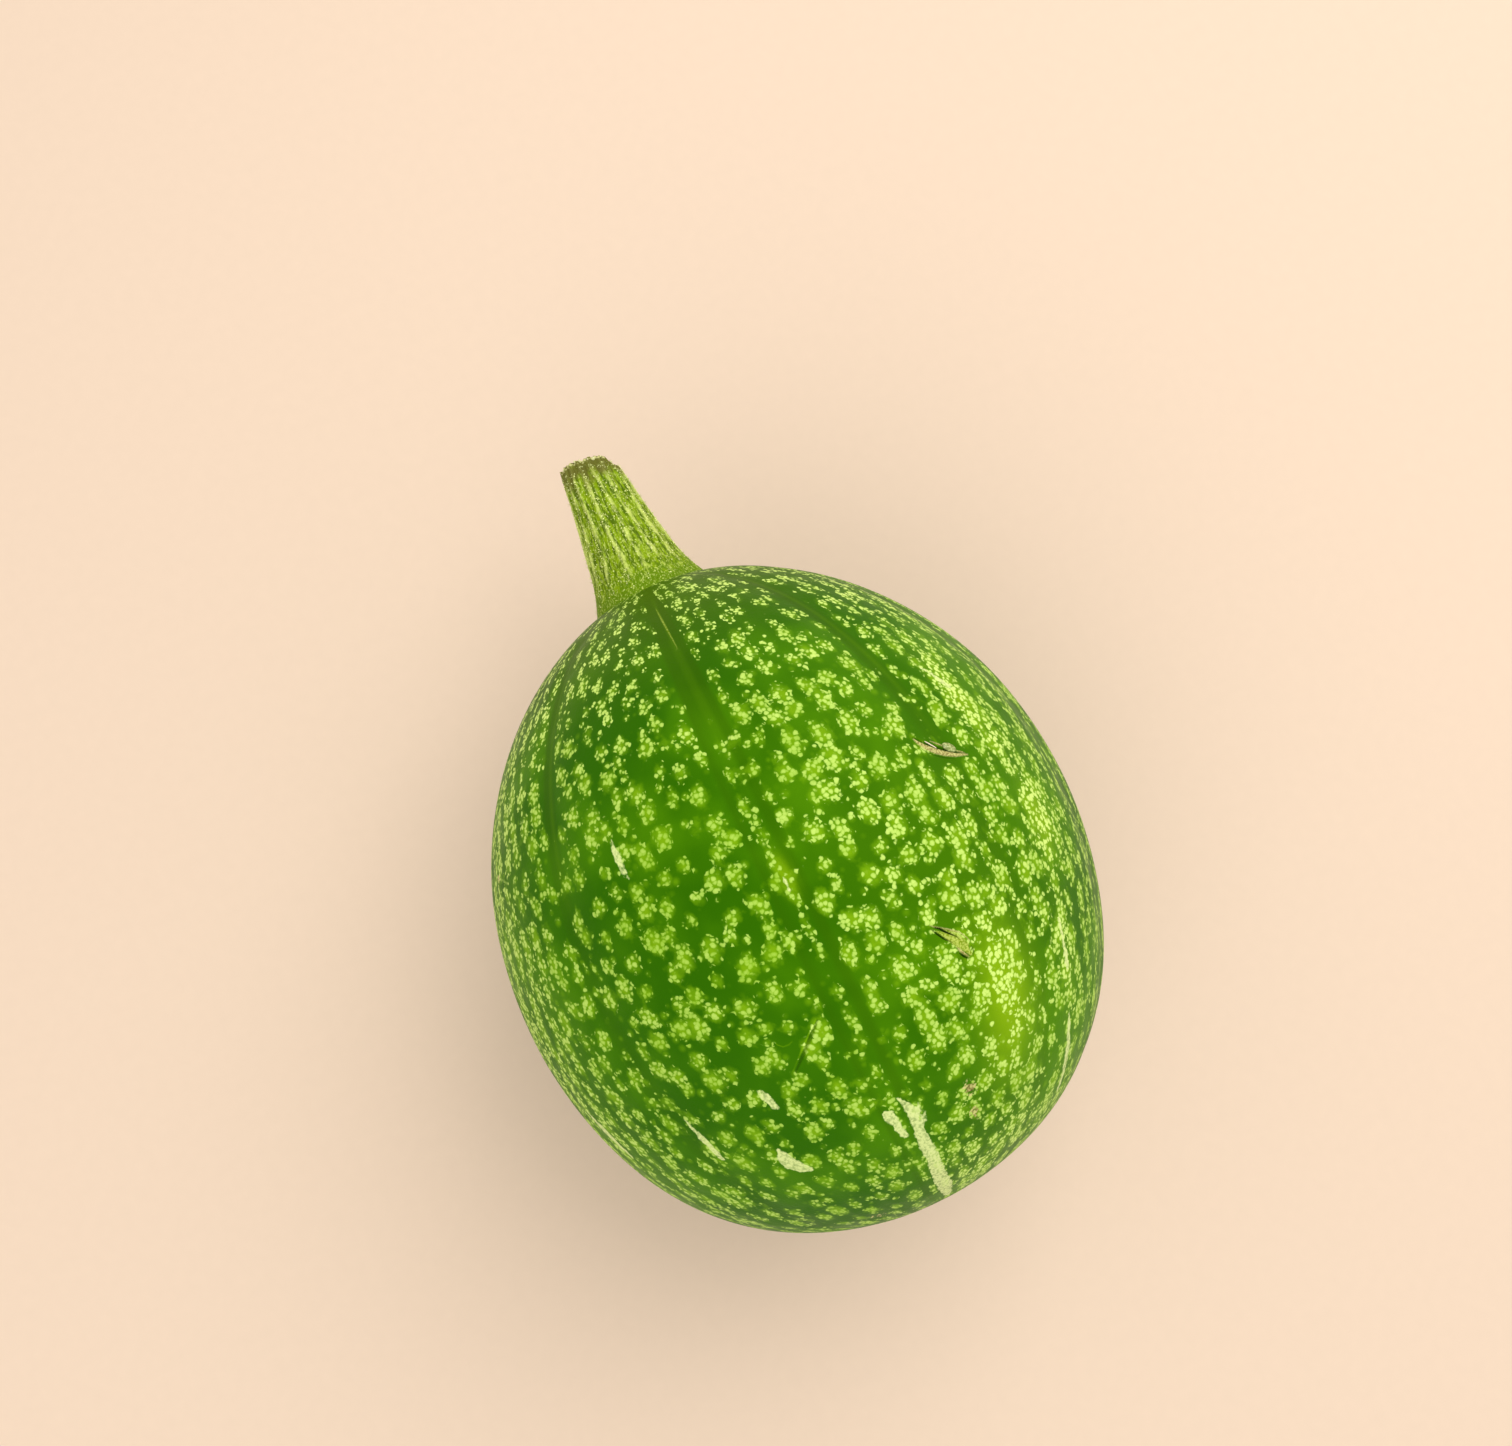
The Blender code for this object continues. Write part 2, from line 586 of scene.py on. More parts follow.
    def coat(self, color: Socket, roughness: object, specular: float = 0.5) -> bpy.types.Material:
        """Sets the shader's colour, roughness and shine.

        Args:
            color: its base colour.
            roughness: its roughness, an output or a number.
            specular: its specular level.

        Returns:
            The finished material.
        """
        self.feed(self.shader.inputs["Base Color"], color)
        self.feed(self.shader.inputs["Roughness"], roughness)
        self.shader.inputs["Specular IOR Level"].default_value = specular
        return self.material

    def bump(self, height: Socket, depth: float) -> None:
        """Gives the shader a bump.

        Args:
            height: the bump's height, from 0 to about 1.
            depth: how many metres a height of 1 stands for.
        """
        node = self.add("ShaderNodeBump")
        node.inputs["Strength"].default_value = 1.0
        node.inputs["Distance"].default_value = depth
        self.feed(node.inputs["Height"], height)
        self.feed(self.shader.inputs["Normal"], node.outputs["Normal"])


@dataclass(frozen=True)
class RindFinish:
    """Waxy green rind with flecks of pale granules, plain bands and cream streaks, and painted highlight,
    sheen and shade in its colour.

    Sizes of the pattern are in millimetres.
    """

    ground: Color = (0.021, 0.108, 0.0003)
    # Lighter ground where random clouds and the pale field say; the pale field is partly painted highlight.
    ground_light: Color = (0.056, 0.188, 0.0008)
    ground_deep: Color = (0.024, 0.084, 0.0002)
    olive: Color = (0.050, 0.116, 0.0005)
    halo: Color = (0.135, 0.310, 0.003)
    core: Color = (0.220, 0.410, 0.006)
    granule_dim: Color = (0.235, 0.450, 0.020)
    granule_bright: Color = (0.600, 0.800, 0.205)
    cream: Color = (0.600, 0.700, 0.285)
    yellow: Color = (0.200, 0.370, 0.003)
    dry: Color = (0.520, 0.500, 0.190)
    dry_deep: Color = (0.230, 0.190, 0.060)
    # Painted shade of the scars' grooves and shadows; also the darkest bits of the scabs' own crust.
    shade_and_crust_dark: Color = (0.010, 0.028, 0.002)
    sap: Color = (0.400, 0.490, 0.090)
    sap_deep: Color = (0.170, 0.260, 0.008)
    granule_size: float = 1.12
    granule_shift: tuple[float, float] = (1.2, 0.8)
    crumb_size: float = 3.1
    crumb_radius: float = 0.31
    fleck_fray: float = 1.9
    streak_fray: float = 1.5
    streak_meal: float = 0.8
    cloud_size: float = 26.0
    wear_size: float = 6.0
    bump_size: float = 0.9
    fibre_size: float = 0.40
    crust_size: float = 0.90
    shine_color: Color = (0.42, 0.80, 0.06)
    bump_depth: float = 0.00006
    specular: float = 0.07
    roughness: tuple[float, float] = (0.38, 0.50)

    def material(self) -> bpy.types.Material:
        """Makes the rind's material.

        Returns:
            The material.
        """
        sheet = NodeSheet("rind")
        growth = sheet.field(Field.GROWTH).outputs["Vector"]
        grain = sheet.cells(sheet.shaken(growth, *self.granule_shift), self.granule_size)
        inside = self.fleck_depth(sheet, growth)
        chance = sheet.swing(sheet.channel(grain.outputs["Color"], 0), 1.3)
        shown = sheet.step(sheet.sum(inside, chance), -0.12, 0.14)
        dots = sheet.times(shown, sheet.step(grain.outputs["Distance"], 0.68, 0.40))
        # Granules show more where the pale field lightens the rind, partly as painted highlight.
        clear = sheet.sum(
            sheet.times(sheet.number(Field.CRISP), 0.24),
            sheet.times(sheet.number(Field.PALE_AND_HIGHLIGHT), 0.14),
            sheet.times(dots, 0.72),
        )
        ground = self.ground_color(sheet, growth, inside)
        color = sheet.blend(sheet.times(dots, clear), ground, self.granule_color(sheet, grain))
        color = self.streaked(sheet, growth, color)

        smooth, rough = self.roughness
        worn = sheet.step(sheet.noise(growth, self.wear_size, 3.0), 0.3, 0.7, smooth, rough)
        grit = sheet.sum(sheet.noise(growth, self.bump_size, 3.0), sheet.times(dots, 0.25))
        sheet.shader.inputs["Specular Tint"].default_value = (*self.shine_color, 1.0)
        sheet.bump(grit, self.bump_depth)
        return sheet.coat(self.scarred(sheet, color), worn, self.specular)

    def fleck_depth(self, sheet: NodeSheet, growth: Socket) -> Socket:
        """Finds how deep a place lies inside a fleck or a stray crumb of one.

        Args:
            sheet: node tree to add to.
            growth: pattern coordinate.

        Returns:
            About millimetres, negative outside.
        """
        crumb = sheet.cells(growth, self.crumb_size)
        crumb_reach = sheet.times(sheet.channel(crumb.outputs["Color"], 0), self.crumb_radius)
        crumb_away = sheet.times(crumb.outputs["Distance"], -1.0)
        crumbs = sheet.times(sheet.sum(crumb_reach, crumb_away), self.crumb_size)
        ragged = sheet.math("MULTIPLY_ADD", sheet.noise(growth, self.fleck_fray), 2.3, -1.1)
        whole = sheet.math("MAXIMUM", sheet.sum(sheet.number(Field.FLECK), ragged), crumbs)
        kept_out = sheet.times(sheet.number(Field.BAND), -1.6)
        # More of the rind counts as fleck where the pale field lightens it, partly as painted highlight.
        return sheet.sum(whole, kept_out, sheet.times(sheet.number(Field.PALE_AND_HIGHLIGHT), 0.85))

    def ground_color(self, sheet: NodeSheet, growth: Socket, inside: Socket) -> Socket:
        """Colours the rind between and under the granules.

        Args:
            sheet: node tree to add to.
            growth: pattern coordinate.
            inside: how deep a place lies inside a fleck.

        Returns:
            The ground's colour.
        """
        # The pale field lightens and yellows the ground, partly as painted highlight.
        pale = sheet.number(Field.PALE_AND_HIGHLIGHT)
        clouds = sheet.step(sheet.noise(growth, self.cloud_size, 3.0), 0.38, 0.70)
        lightness = sheet.sum(clouds, sheet.times(pale, 0.5))
        soft = sheet.math("MULTIPLY_ADD", sheet.number(Field.CRISP), -0.42, 0.70)
        layers = (
            (sheet.times(lightness, 0.8), self.ground_light),
            (sheet.times(sheet.number(Field.BAND), 0.55), self.ground_deep),
            (sheet.times(sheet.number(Field.ENDS), 0.8), self.olive),
            (sheet.times(sheet.number(Field.VEIN), 0.13), self.halo),
            (sheet.times(sheet.step(inside, -0.7, 0.9), soft), self.halo),
            (sheet.step(inside, 0.5, 1.7, 0.0, 0.4), self.core),
            (sheet.sum(sheet.number(Field.WARM), sheet.times(pale, 0.14)), self.yellow),
        )
        return sheet.layered(self.ground, layers)

    def granule_color(self, sheet: NodeSheet, grain: bpy.types.Node) -> Socket:
        """Colours the granules, brighter in their middles, in bright flecks, near the stalk and where the
        pale field lightens them, partly as painted highlight.

        Args:
            sheet: node tree to add to.
            grain: the cells that the granules fill.

        Returns:
            The granules' colour.
        """
        glow = sheet.sum(
            sheet.times(sheet.number(Field.GLOW), 0.32),
            sheet.times(sheet.channel(grain.outputs["Color"], 2), 0.22),
            sheet.times(sheet.step(grain.outputs["Distance"], 0.5, 0.1), 0.22),
            sheet.times(sheet.number(Field.PALE_AND_HIGHLIGHT), 0.72),
            sheet.times(sheet.number(Field.CRISP), 0.42),
        )
        return sheet.blend(glow, self.granule_dim, self.granule_bright)

    def streaked(self, sheet: NodeSheet, growth: Socket, color: Socket) -> Socket:
        """Lays the mealy cream streaks over a colour.

        Args:
            sheet: node tree to add to.
            growth: pattern coordinate.
            color: colour of the rind without them.

        Returns:
            The colour with the streaks.
        """
        frayed = sheet.swing(sheet.noise(growth, self.streak_fray, 3.0), 1.5)
        streak = sheet.step(sheet.sum(sheet.number(Field.STREAK), frayed), 0.16, -0.20)
        mealy = sheet.step(sheet.noise(growth, self.streak_meal), 0.32, 0.60, 0.48, 0.92)
        return sheet.blend(sheet.times(streak, mealy), color, self.cream)

    def scarred(self, sheet: NodeSheet, color: Socket) -> Socket:
        """Lays the scars and scabs over the rind's colour, with painted shade in the scars' grooves and
        painted shadows beside their raised edges.

        Args:
            sheet: node tree to add to.
            color: colour of the sound rind.

        Returns:
            The finished colour.
        """
        where = sheet.metres()
        fibre = sheet.step(sheet.noise(where, self.fibre_size * MM, 3.0), 0.36, 0.62)
        crust = sheet.noise(where, self.crust_size * MM, 3.0)
        scab = sheet.blend(sheet.step(crust, 0.46, 0.58), self.dry_deep, self.dry)
        scab = sheet.blend(sheet.step(crust, 0.46, 0.36), scab, self.shade_and_crust_dark)
        scarred = sheet.number(Field.SCAB)
        spread = sheet.sum(scarred, sheet.swing(crust, 3.2))
        shown = sheet.times(sheet.step(spread, 0.45, 0.80), sheet.step(scarred, 0.05, 0.30))
        layers = (
            (sheet.number(Field.SAP), sheet.blend(fibre, self.sap_deep, self.sap)),
            (sheet.number(Field.DRY), sheet.blend(fibre, self.dry_deep, self.dry)),
            # Painted shade in the scars' grooves and painted shadows beside their raised edges.
            (sheet.number(Field.PAINTED_SHADE), self.shade_and_crust_dark),
            (sheet.times(shown, 0.85), scab),
        )
        return sheet.layered(color, layers)


@dataclass(frozen=True)
class Streak:
    """A line on the rind through places, each an angle, a distance and a half width in millimetres."""

    places: tuple[tuple[float, float, float], ...]

    def depth(self, angle: np.ndarray, distance: np.ndarray, reach: np.ndarray) -> np.ndarray:
        """Measures how far points lie from the line's edge, in millimetres, negative inside.

        Args:
            angle: degrees round the fruit.
            distance: millimetres along the rind.
            reach: the rind's radius there, in millimetres.

        Returns:
            One number for each point.
        """
        best = np.full(angle.shape, np.inf)
        for first, second in zip(self.places, self.places[1:]):
            across = np.radians(turned(angle, first[0])) * reach
            along = distance - first[1]
            run = math.radians(second[0] - first[0]) * reach
            rise = second[1] - first[1]
            share = np.clip((across * run + along * rise) / (run ** 2 + rise ** 2), 0.0, 1.0)
            away = np.hypot(across - share * run, along - share * rise)
            best = np.minimum(best, away - (first[2] + (second[2] - first[2]) * share))
        return best


@dataclass(frozen=True)
class Patch:
    """A soft-edged patch of the rind: angle, distance, half widths across and along, and strength."""

    angle: float
    distance: float
    across: float
    along: float
    strength: float

    def share(self, angle: np.ndarray, distance: np.ndarray, reach: np.ndarray) -> np.ndarray:
        """Finds how strongly the patch shows.

        Args:
            angle: degrees round the fruit.
            distance: millimetres along the rind.
            reach: the rind's radius there, in millimetres.

        Returns:
            One number for each point.
        """
        wide = np.radians(turned(angle, self.angle)) * reach / self.across
        tall = (distance - self.distance) / self.along
        return self.strength * np.exp(-(wide ** 2 + tall ** 2))


STREAKS = (
    Streak(((-3.5, 178.4, 1.2), (-3.3, 180.0, 1.3), (-3.1, 181.0, 0.85), (-2.5, 186.2, 0.85))),
    Streak((
        (-0.6, 175.6, 0.3), (0.6, 178.3, 0.7), (1.05, 180.2, 1.3), (1.0, 183.4, 1.15), (0.9, 188.0, 1.25),
        (1.1, 193.0, 1.5), (1.4, 199.0, 1.5), (1.5, 207.0, 1.7), (2.1, 213.0, 1.9), (2.8, 220.0, 1.2),
        (3.2, 226.0, 0.2),
    )),
    Streak(((2.75, 178.8, 0.1), (3.15, 181.2, 0.3), (3.16, 184.6, 0.4))),
    Streak((
        (-26.0, 175.4, 0.7), (-26.5, 177.4, 1.5), (-26.3, 180.0, 1.9), (-25.3, 182.0, 1.5),
        (-23.5, 183.6, 0.6),
    )),
    Streak(((-22.2, 160.2, 0.8), (-21.7, 162.2, 1.0), (-21.1, 165.2, 0.6))),
    Streak(((-39.4, 159.5, 0.2), (-38.9, 166.0, 0.9), (-38.6, 172.3, 0.7))),
    Streak(((-1.9, 119.7, 0.1), (-1.75, 121.8, 0.3), (-1.75, 124.0, 0.4))),
    Streak(((-27.5, 97.2, 0.3), (-26.9, 101.5, 0.9), (-26.4, 106.3, 0.4))),
    Streak(((44.0, 91.0, 0.3), (46.7, 98.0, 0.9))),
    Streak(((44.9, 157.0, 0.4), (45.0, 168.0, 0.8))),
    Streak(((44.5, 178.0, 0.4), (45.8, 190.0, 0.9), (47.3, 202.0, 0.5))),
    Streak(((-67.1, 150.2, 0.3), (-65.6, 158.0, 1.4), (-64.6, 166.1, 0.4))),
    Streak(((95.0, 120.0, 0.2), (96.0, 132.0, 0.9), (95.0, 140.0, 0.1))),
    Streak(((141.0, 168.0, 0.2), (142.0, 180.0, 0.8), (142.6, 192.0, 1.1), (143.0, 202.0, 0.1))),
    Streak(((206.0, 98.0, 0.2), (205.4, 104.0, 0.9), (205.0, 111.0, 0.1))),
    Streak(((231.0, 182.0, 0.2), (231.8, 191.0, 0.9), (232.0, 200.0, 0.1))),
    Streak(((262.0, 132.0, 0.1), (262.6, 138.0, 0.6), (263.0, 144.0, 0.1))),
)

# Lighter patches of the rind: partly its own paler tone, partly painted highlight and sheen.
PALE_AND_HIGHLIGHT_PATCHES = (
    Patch(58.0, 120.0, 30.0, 66.0, 0.26),
    Patch(46.6, 99.0, 3.2, 10.0, 1.25),
    Patch(48.0, 113.0, 3.2, 5.5, 0.80),
    Patch(49.2, 134.5, 4.8, 9.0, 1.30),
    Patch(45.5, 163.0, 3.5, 12.0, 0.70),
    Patch(27.0, 166.0, 12.0, 18.0, 0.55),
    Patch(-70.0, 120.0, 22.0, 70.0, 0.48),
    Patch(26.0, 210.0, 22.0, 20.0, 0.62),
    Patch(17.0, 128.0, 20.0, 36.0, 0.34),
    Patch(32.0, 134.0, 16.0, 44.0, 0.30),
    Patch(150.0, 120.0, 30.0, 60.0, 0.30),
    Patch(-130.0, 140.0, 28.0, 60.0, 0.35),
)

WARM_PATCHES = (
    Patch(27.0, 164.5, 6.5, 13.0, 0.80),
    Patch(-1.5, 120.5, 1.4, 4.5, 0.75),
    Patch(24.0, 178.0, 6.0, 9.0, 0.25),
    Patch(46.6, 101.0, 2.2, 7.0, 0.60),
    Patch(49.2, 134.0, 3.2, 6.0, 0.60),
)

SCAB_PATCHES = (
    Patch(14.0, 182.3, 1.3, 1.6, 1.5),
    Patch(14.1, 189.4, 1.2, 1.8, 1.4),
    Patch(-66.0, 92.0, 1.2, 1.6, 0.9),
    Patch(-24.5, 214.0, 2.2, 1.2, 0.9),
    Patch(118.0, 146.0, 1.6, 2.4, 1.0),
    Patch(214.0, 164.0, 1.4, 2.8, 1.0),
    Patch(254.0, 96.0, 1.3, 1.5, 0.9),
)


@dataclass(frozen=True)
class Mark:
    """One line of a scar: the field that it shows in, how strongly, and its height in millimetres."""

    look: Field
    strength: float
    height: float
    line: Streak


SLIT = (
    Mark(Field.DRY, 0.95, 0.34, Streak((
        (30.38, 106.0, 0.08), (30.70, 107.1, 0.32), (31.72, 108.7, 0.58), (33.15, 110.36, 0.62),
        (34.81, 111.79, 0.54), (36.79, 113.16, 0.40), (39.35, 114.36, 0.10),
    ))),
    Mark(Field.DRY, 0.80, 0.22, Streak(((33.6, 107.9, 0.06), (34.7, 109.15, 0.16), (35.6, 110.2, 0.10)))),
    Mark(Field.DRY, 0.85, 0.18, Streak(((37.6, 112.4, 0.08), (38.4, 113.1, 0.15), (39.1, 113.8, 0.06)))),
    # Painted shade in the slit's groove.
    Mark(Field.PAINTED_SHADE, 1.00, -0.60, Streak((
        (30.45, 105.6, 0.06), (31.06, 106.62, 0.22), (32.07, 108.03, 0.30), (33.73, 109.67, 0.32),
        (35.38, 111.16, 0.26), (37.11, 112.57, 0.20), (39.16, 113.98, 0.06),
    ))),
    # Painted shadow under the slit's lower lip.
    Mark(Field.PAINTED_SHADE, 0.65, -0.14, Streak((
        (30.20, 107.3, 0.05), (31.25, 109.4, 0.12), (32.5, 111.05, 0.12), (34.2, 112.5, 0.12),
        (36.4, 113.9, 0.05),
    ))),
)

FLAP = (
    Mark(Field.SAP, 0.95, 0.30, Streak((
        (17.31, 145.1, 0.12), (18.40, 146.6, 0.50), (19.48, 148.3, 0.85), (20.44, 149.8, 0.95),
        (21.18, 151.2, 0.80), (21.81, 153.0, 0.35),
    ))),
    Mark(Field.SAP, 0.75, 0.16, Streak((
        (18.50, 145.5, 0.12), (20.0, 147.1, 0.50), (21.04, 149.0, 0.50), (21.9, 150.9, 0.30),
    ))),
    Mark(Field.DRY, 0.75, 0.28, Streak((
        (16.58, 143.3, 0.06), (17.32, 144.1, 0.15), (18.47, 145.06, 0.13), (19.73, 146.2, 0.16),
        (21.18, 147.6, 0.13), (22.23, 149.6, 0.10), (22.42, 150.5, 0.05),
    ))),
    Mark(Field.DRY, 0.95, 0.42, Streak((
        (19.75, 150.3, 0.10), (20.1, 151.3, 0.26), (20.7, 152.4, 0.22), (21.4, 153.6, 0.06),
    ))),
    # Painted shade in the flap's two grooves.
    Mark(Field.PAINTED_SHADE, 1.00, -0.50, Streak((
        (17.2, 144.2, 0.05), (18.13, 145.06, 0.17), (18.8, 146.18, 0.20), (19.79, 147.44, 0.13),
        (20.7, 148.7, 0.04),
    ))),
    Mark(Field.PAINTED_SHADE, 0.95, -0.40, Streak((
        (16.73, 144.5, 0.05), (17.3, 145.81, 0.15), (18.13, 147.37, 0.14), (19.2, 148.8, 0.05),
    ))),
    # Painted shadow under the flap's pale fold.
    Mark(Field.PAINTED_SHADE, 0.95, -0.40, Streak(((19.9, 151.8, 0.06), (20.5, 152.9, 0.20), (21.2, 153.9, 0.08)))),
    # Painted shade along the flap's right end.
    Mark(Field.PAINTED_SHADE, 0.70, -0.20, Streak(((22.5, 151.6, 0.05), (22.6, 152.9, 0.14), (22.2, 153.9, 0.05)))),
)

SCRATCH = (
    # Painted highlight along the crest of the scratch.
    Mark(Field.PALE_AND_HIGHLIGHT, 0.55, 0.10, Streak((
        (-7.21, 150.5, 0.05), (-9.33, 152.7, 0.14), (-12.02, 155.6, 0.14), (-14.95, 158.9, 0.05),
    ))),
    # Painted shade on the far side of the scratch.
    Mark(Field.PAINTED_SHADE, 0.42, -0.24, Streak((
        (-7.0, 150.9, 0.10), (-8.95, 153.1, 0.38), (-11.6, 156.1, 0.34), (-14.6, 159.3, 0.08),
    ))),
    Mark(Field.PALE_AND_HIGHLIGHT, 0.60, 0.05, Streak((
        (-15.1, 150.9, 0.06), (-15.0, 151.9, 0.10), (-14.23, 152.9, 0.11), (-13.17, 153.0, 0.11),
        (-12.4, 152.6, 0.06),
    ))),
)

VEINLET = (
    Mark(Field.SAP, 0.60, 0.0, Streak((
        (-1.6, 36.9, 0.05), (-1.4, 44.0, 0.20), (-1.15, 52.0, 0.14), (-1.0, 57.0, 0.04),
    ))),
)

MARKS = SLIT + FLAP + SCRATCH + VEINLET


@dataclass(frozen=True)
class Flecks:
    """Where the pale flecks grow: jittered rows round the fruit, each fleck a tilted oval.

    A clean strip is left along each furrow, with a column of slim flecks down its middle
    from some way below the stalk.
    """

    form: FruitForm = FORM
    first_row: float = 2.5
    spacing: tuple[float, float] = (4.9, 6.0)
    row_step: tuple[float, float] = (6.2, 6.5)
    near_stalk: float = 70.0
    jitter: float = 0.26
    half_width: tuple[float, float] = (1.15, 2.28)
    stalk_size: float = 0.50
    stretch: tuple[float, float] = (1.0, 1.5)
    stalk_reach: float = 60.0
    stalk_stretch: float = 0.9
    flanks: tuple[float, float] = (67.0, -72.0)
    flank_reach: float = 20.0
    flank_stretch: float = 1.1
    flank_slimness: float = 0.22
    flank_order: float = 0.7
    # Painted sheen: how much brighter the flecks are at the flanks.
    flank_sheen: float = 0.6
    tilt: float = 18.0
    main_strip: float = 2.3
    side_strip: float = 1.0
    column_start: tuple[float, float] = (60.0, 69.0)
    column_end: float = 214.0
    column_step: float = 7.3
    column_jitter: float = 1.6
    column_width: tuple[float, float] = (0.65, 1.15)
    column_sway: float = 0.5
    column_stretch: tuple[float, float] = (1.6, 2.8)
    column_glow: float = 0.6
    neighbours: int = 5
    flattening: float = 1.25
    seed: int = 7

    def in_clean_strip(self, angle: float, wide: float) -> bool:
        """Tells whether a place lies in the plain strip along a furrow.

        Args:
            angle: degrees round the fruit.
            wide: radius that the speckle grows on there, in millimetres.

        Returns:
            Whether it does.
        """
        strips = [self.main_strip] + [self.side_strip] * (len(self.form.furrows) - 1)
        offs = [abs(turned(angle, centre)) for centre in self.form.furrows]
        return any(off * math.radians(wide) < strip for off, strip in zip(offs, strips))

    def flank(self, angle: float) -> float:
        """How near an angle is to the middle of a flank, from 0 to 1."""
        offs = [turned(angle, side) / self.flank_reach for side in self.flanks]
        return max(math.exp(-off ** 2) for off in offs)

    def ovals(self) -> np.ndarray:
        """Lays out the flecks.

        Returns:
            One row for each fleck: angle, climb, half width, half length, tilt and brightness.
        """
        draw = np.random.default_rng(self.seed)
        turns = self.form.turns()
        climbs = self.form.climb(turns)
        rows = []
        level = self.first_row
        while level < climbs[-1]:
            grown = min(1.0, level / self.near_stalk)
            step = float(np.interp(grown, (0.0, 1.0), self.row_step))
            apart = float(np.interp(grown, (0.0, 1.0), self.spacing))
            wide = float(self.form.spread(np.interp(level, climbs, turns)))
            count = max(6, round(2.0 * math.pi * wide / apart))
            start = draw.uniform(0.0, 360.0)
            for index in range(count):
                angle = start + (index + draw.uniform(-self.jitter, self.jitter)) * 360.0 / count
                climb = level + draw.uniform(-self.jitter, self.jitter) * step
                half = draw.uniform(*self.half_width) * (self.stalk_size + (1.0 - self.stalk_size) * grown)
                near = max(0.0, 1.0 - climb / self.stalk_reach)
                flank = self.flank(angle)
                longer = draw.uniform(*self.stretch) + self.stalk_stretch * near + self.flank_stretch * flank
                half = half * (1.0 - self.flank_slimness * flank)
                order = max(near, self.flank_order * flank)
                tilt = math.radians(draw.normal(0.0, self.tilt)) * (1.0 - order)
                # Flecks at the flanks are brighter as painted sheen.
                bright = min(1.0, draw.uniform(0.0, 1.0) + self.flank_sheen * flank)
                if not self.in_clean_strip(angle, wide):
                    rows.append((angle, climb, half, half * longer, tilt, bright))
            level += step
        return np.array(rows + self.columns(draw))

    def columns(self, draw: np.random.Generator) -> list[tuple[float, ...]]:
        """Lays out the slim flecks down the middle of each furrow.

        Args:
            draw: where the random numbers come from.

        Returns:
            One row for each fleck, as in ovals().
        """
        rows = []
        for centre in self.form.furrows:
            for distance in np.arange(draw.uniform(*self.column_start), self.column_end, self.column_step):
                shift = draw.uniform(-self.column_jitter, self.column_jitter)
                climb = float(self.form.climb(float(self.form.turn_at(distance + shift))))
                half = draw.uniform(*self.column_width)
                angle = centre + draw.normal(0.0, self.column_sway)
                longer = draw.uniform(*self.column_stretch)
                rows.append((angle, climb, half, half * longer, 0.0, self.column_glow))
        return rows

    def measure(self, angle: np.ndarray, turn: np.ndarray) -> tuple[np.ndarray, np.ndarray]:
        """How deep points lie inside the nearest fleck, in millimetres, and that fleck's brightness.

        Args:
            angle: degrees round the fruit.
            turn: radians from the stalk end.

        Returns:
            Depths, negative outside, and brightness from 0 to 1.
        """
        ovals = self.ovals()
        wide = self.form.spread(turn)
        climb = self.form.climb(turn)
        turns = self.form.turns()
        oval_wide = self.form.spread(np.interp(ovals[:, 1], self.form.climb(turns), turns))
        tree = KDTree(len(ovals))
        for index, (oval, reach) in enumerate(zip(ovals, oval_wide)):
            around = math.radians(oval[0])
            across = (reach * math.cos(around), reach * math.sin(around))
            tree.insert((*across, oval[1] / self.flattening), index)
        tree.balance()
        around = np.radians(angle)
        places = np.stack([wide * np.cos(around), wide * np.sin(around), climb / self.flattening], axis=-1)
        hits = [tree.find_n(place, self.neighbours) for place in places.tolist()]
        found = np.array([[index for _, index, _ in nearest] for nearest in hits])
        best = np.full(angle.shape, -np.inf)
        bright = np.zeros(angle.shape)
        for column in range(self.neighbours):
            near = ovals[found[:, column]]
            across = np.radians(turned(angle, near[:, 0])) * wide
            along = climb - near[:, 1]
            cosine, sine = np.cos(near[:, 4]), np.sin(near[:, 4])
            first = (across * cosine + along * sine) / near[:, 2]
            second = (along * cosine - across * sine) / near[:, 3]
            depth = (1.0 - np.hypot(first, second)) * near[:, 2]
            deeper = depth > best
            best = np.where(deeper, depth, best)
            bright = np.where(deeper, near[:, 5], bright)
        return np.clip(best, -4.0, 3.0), bright


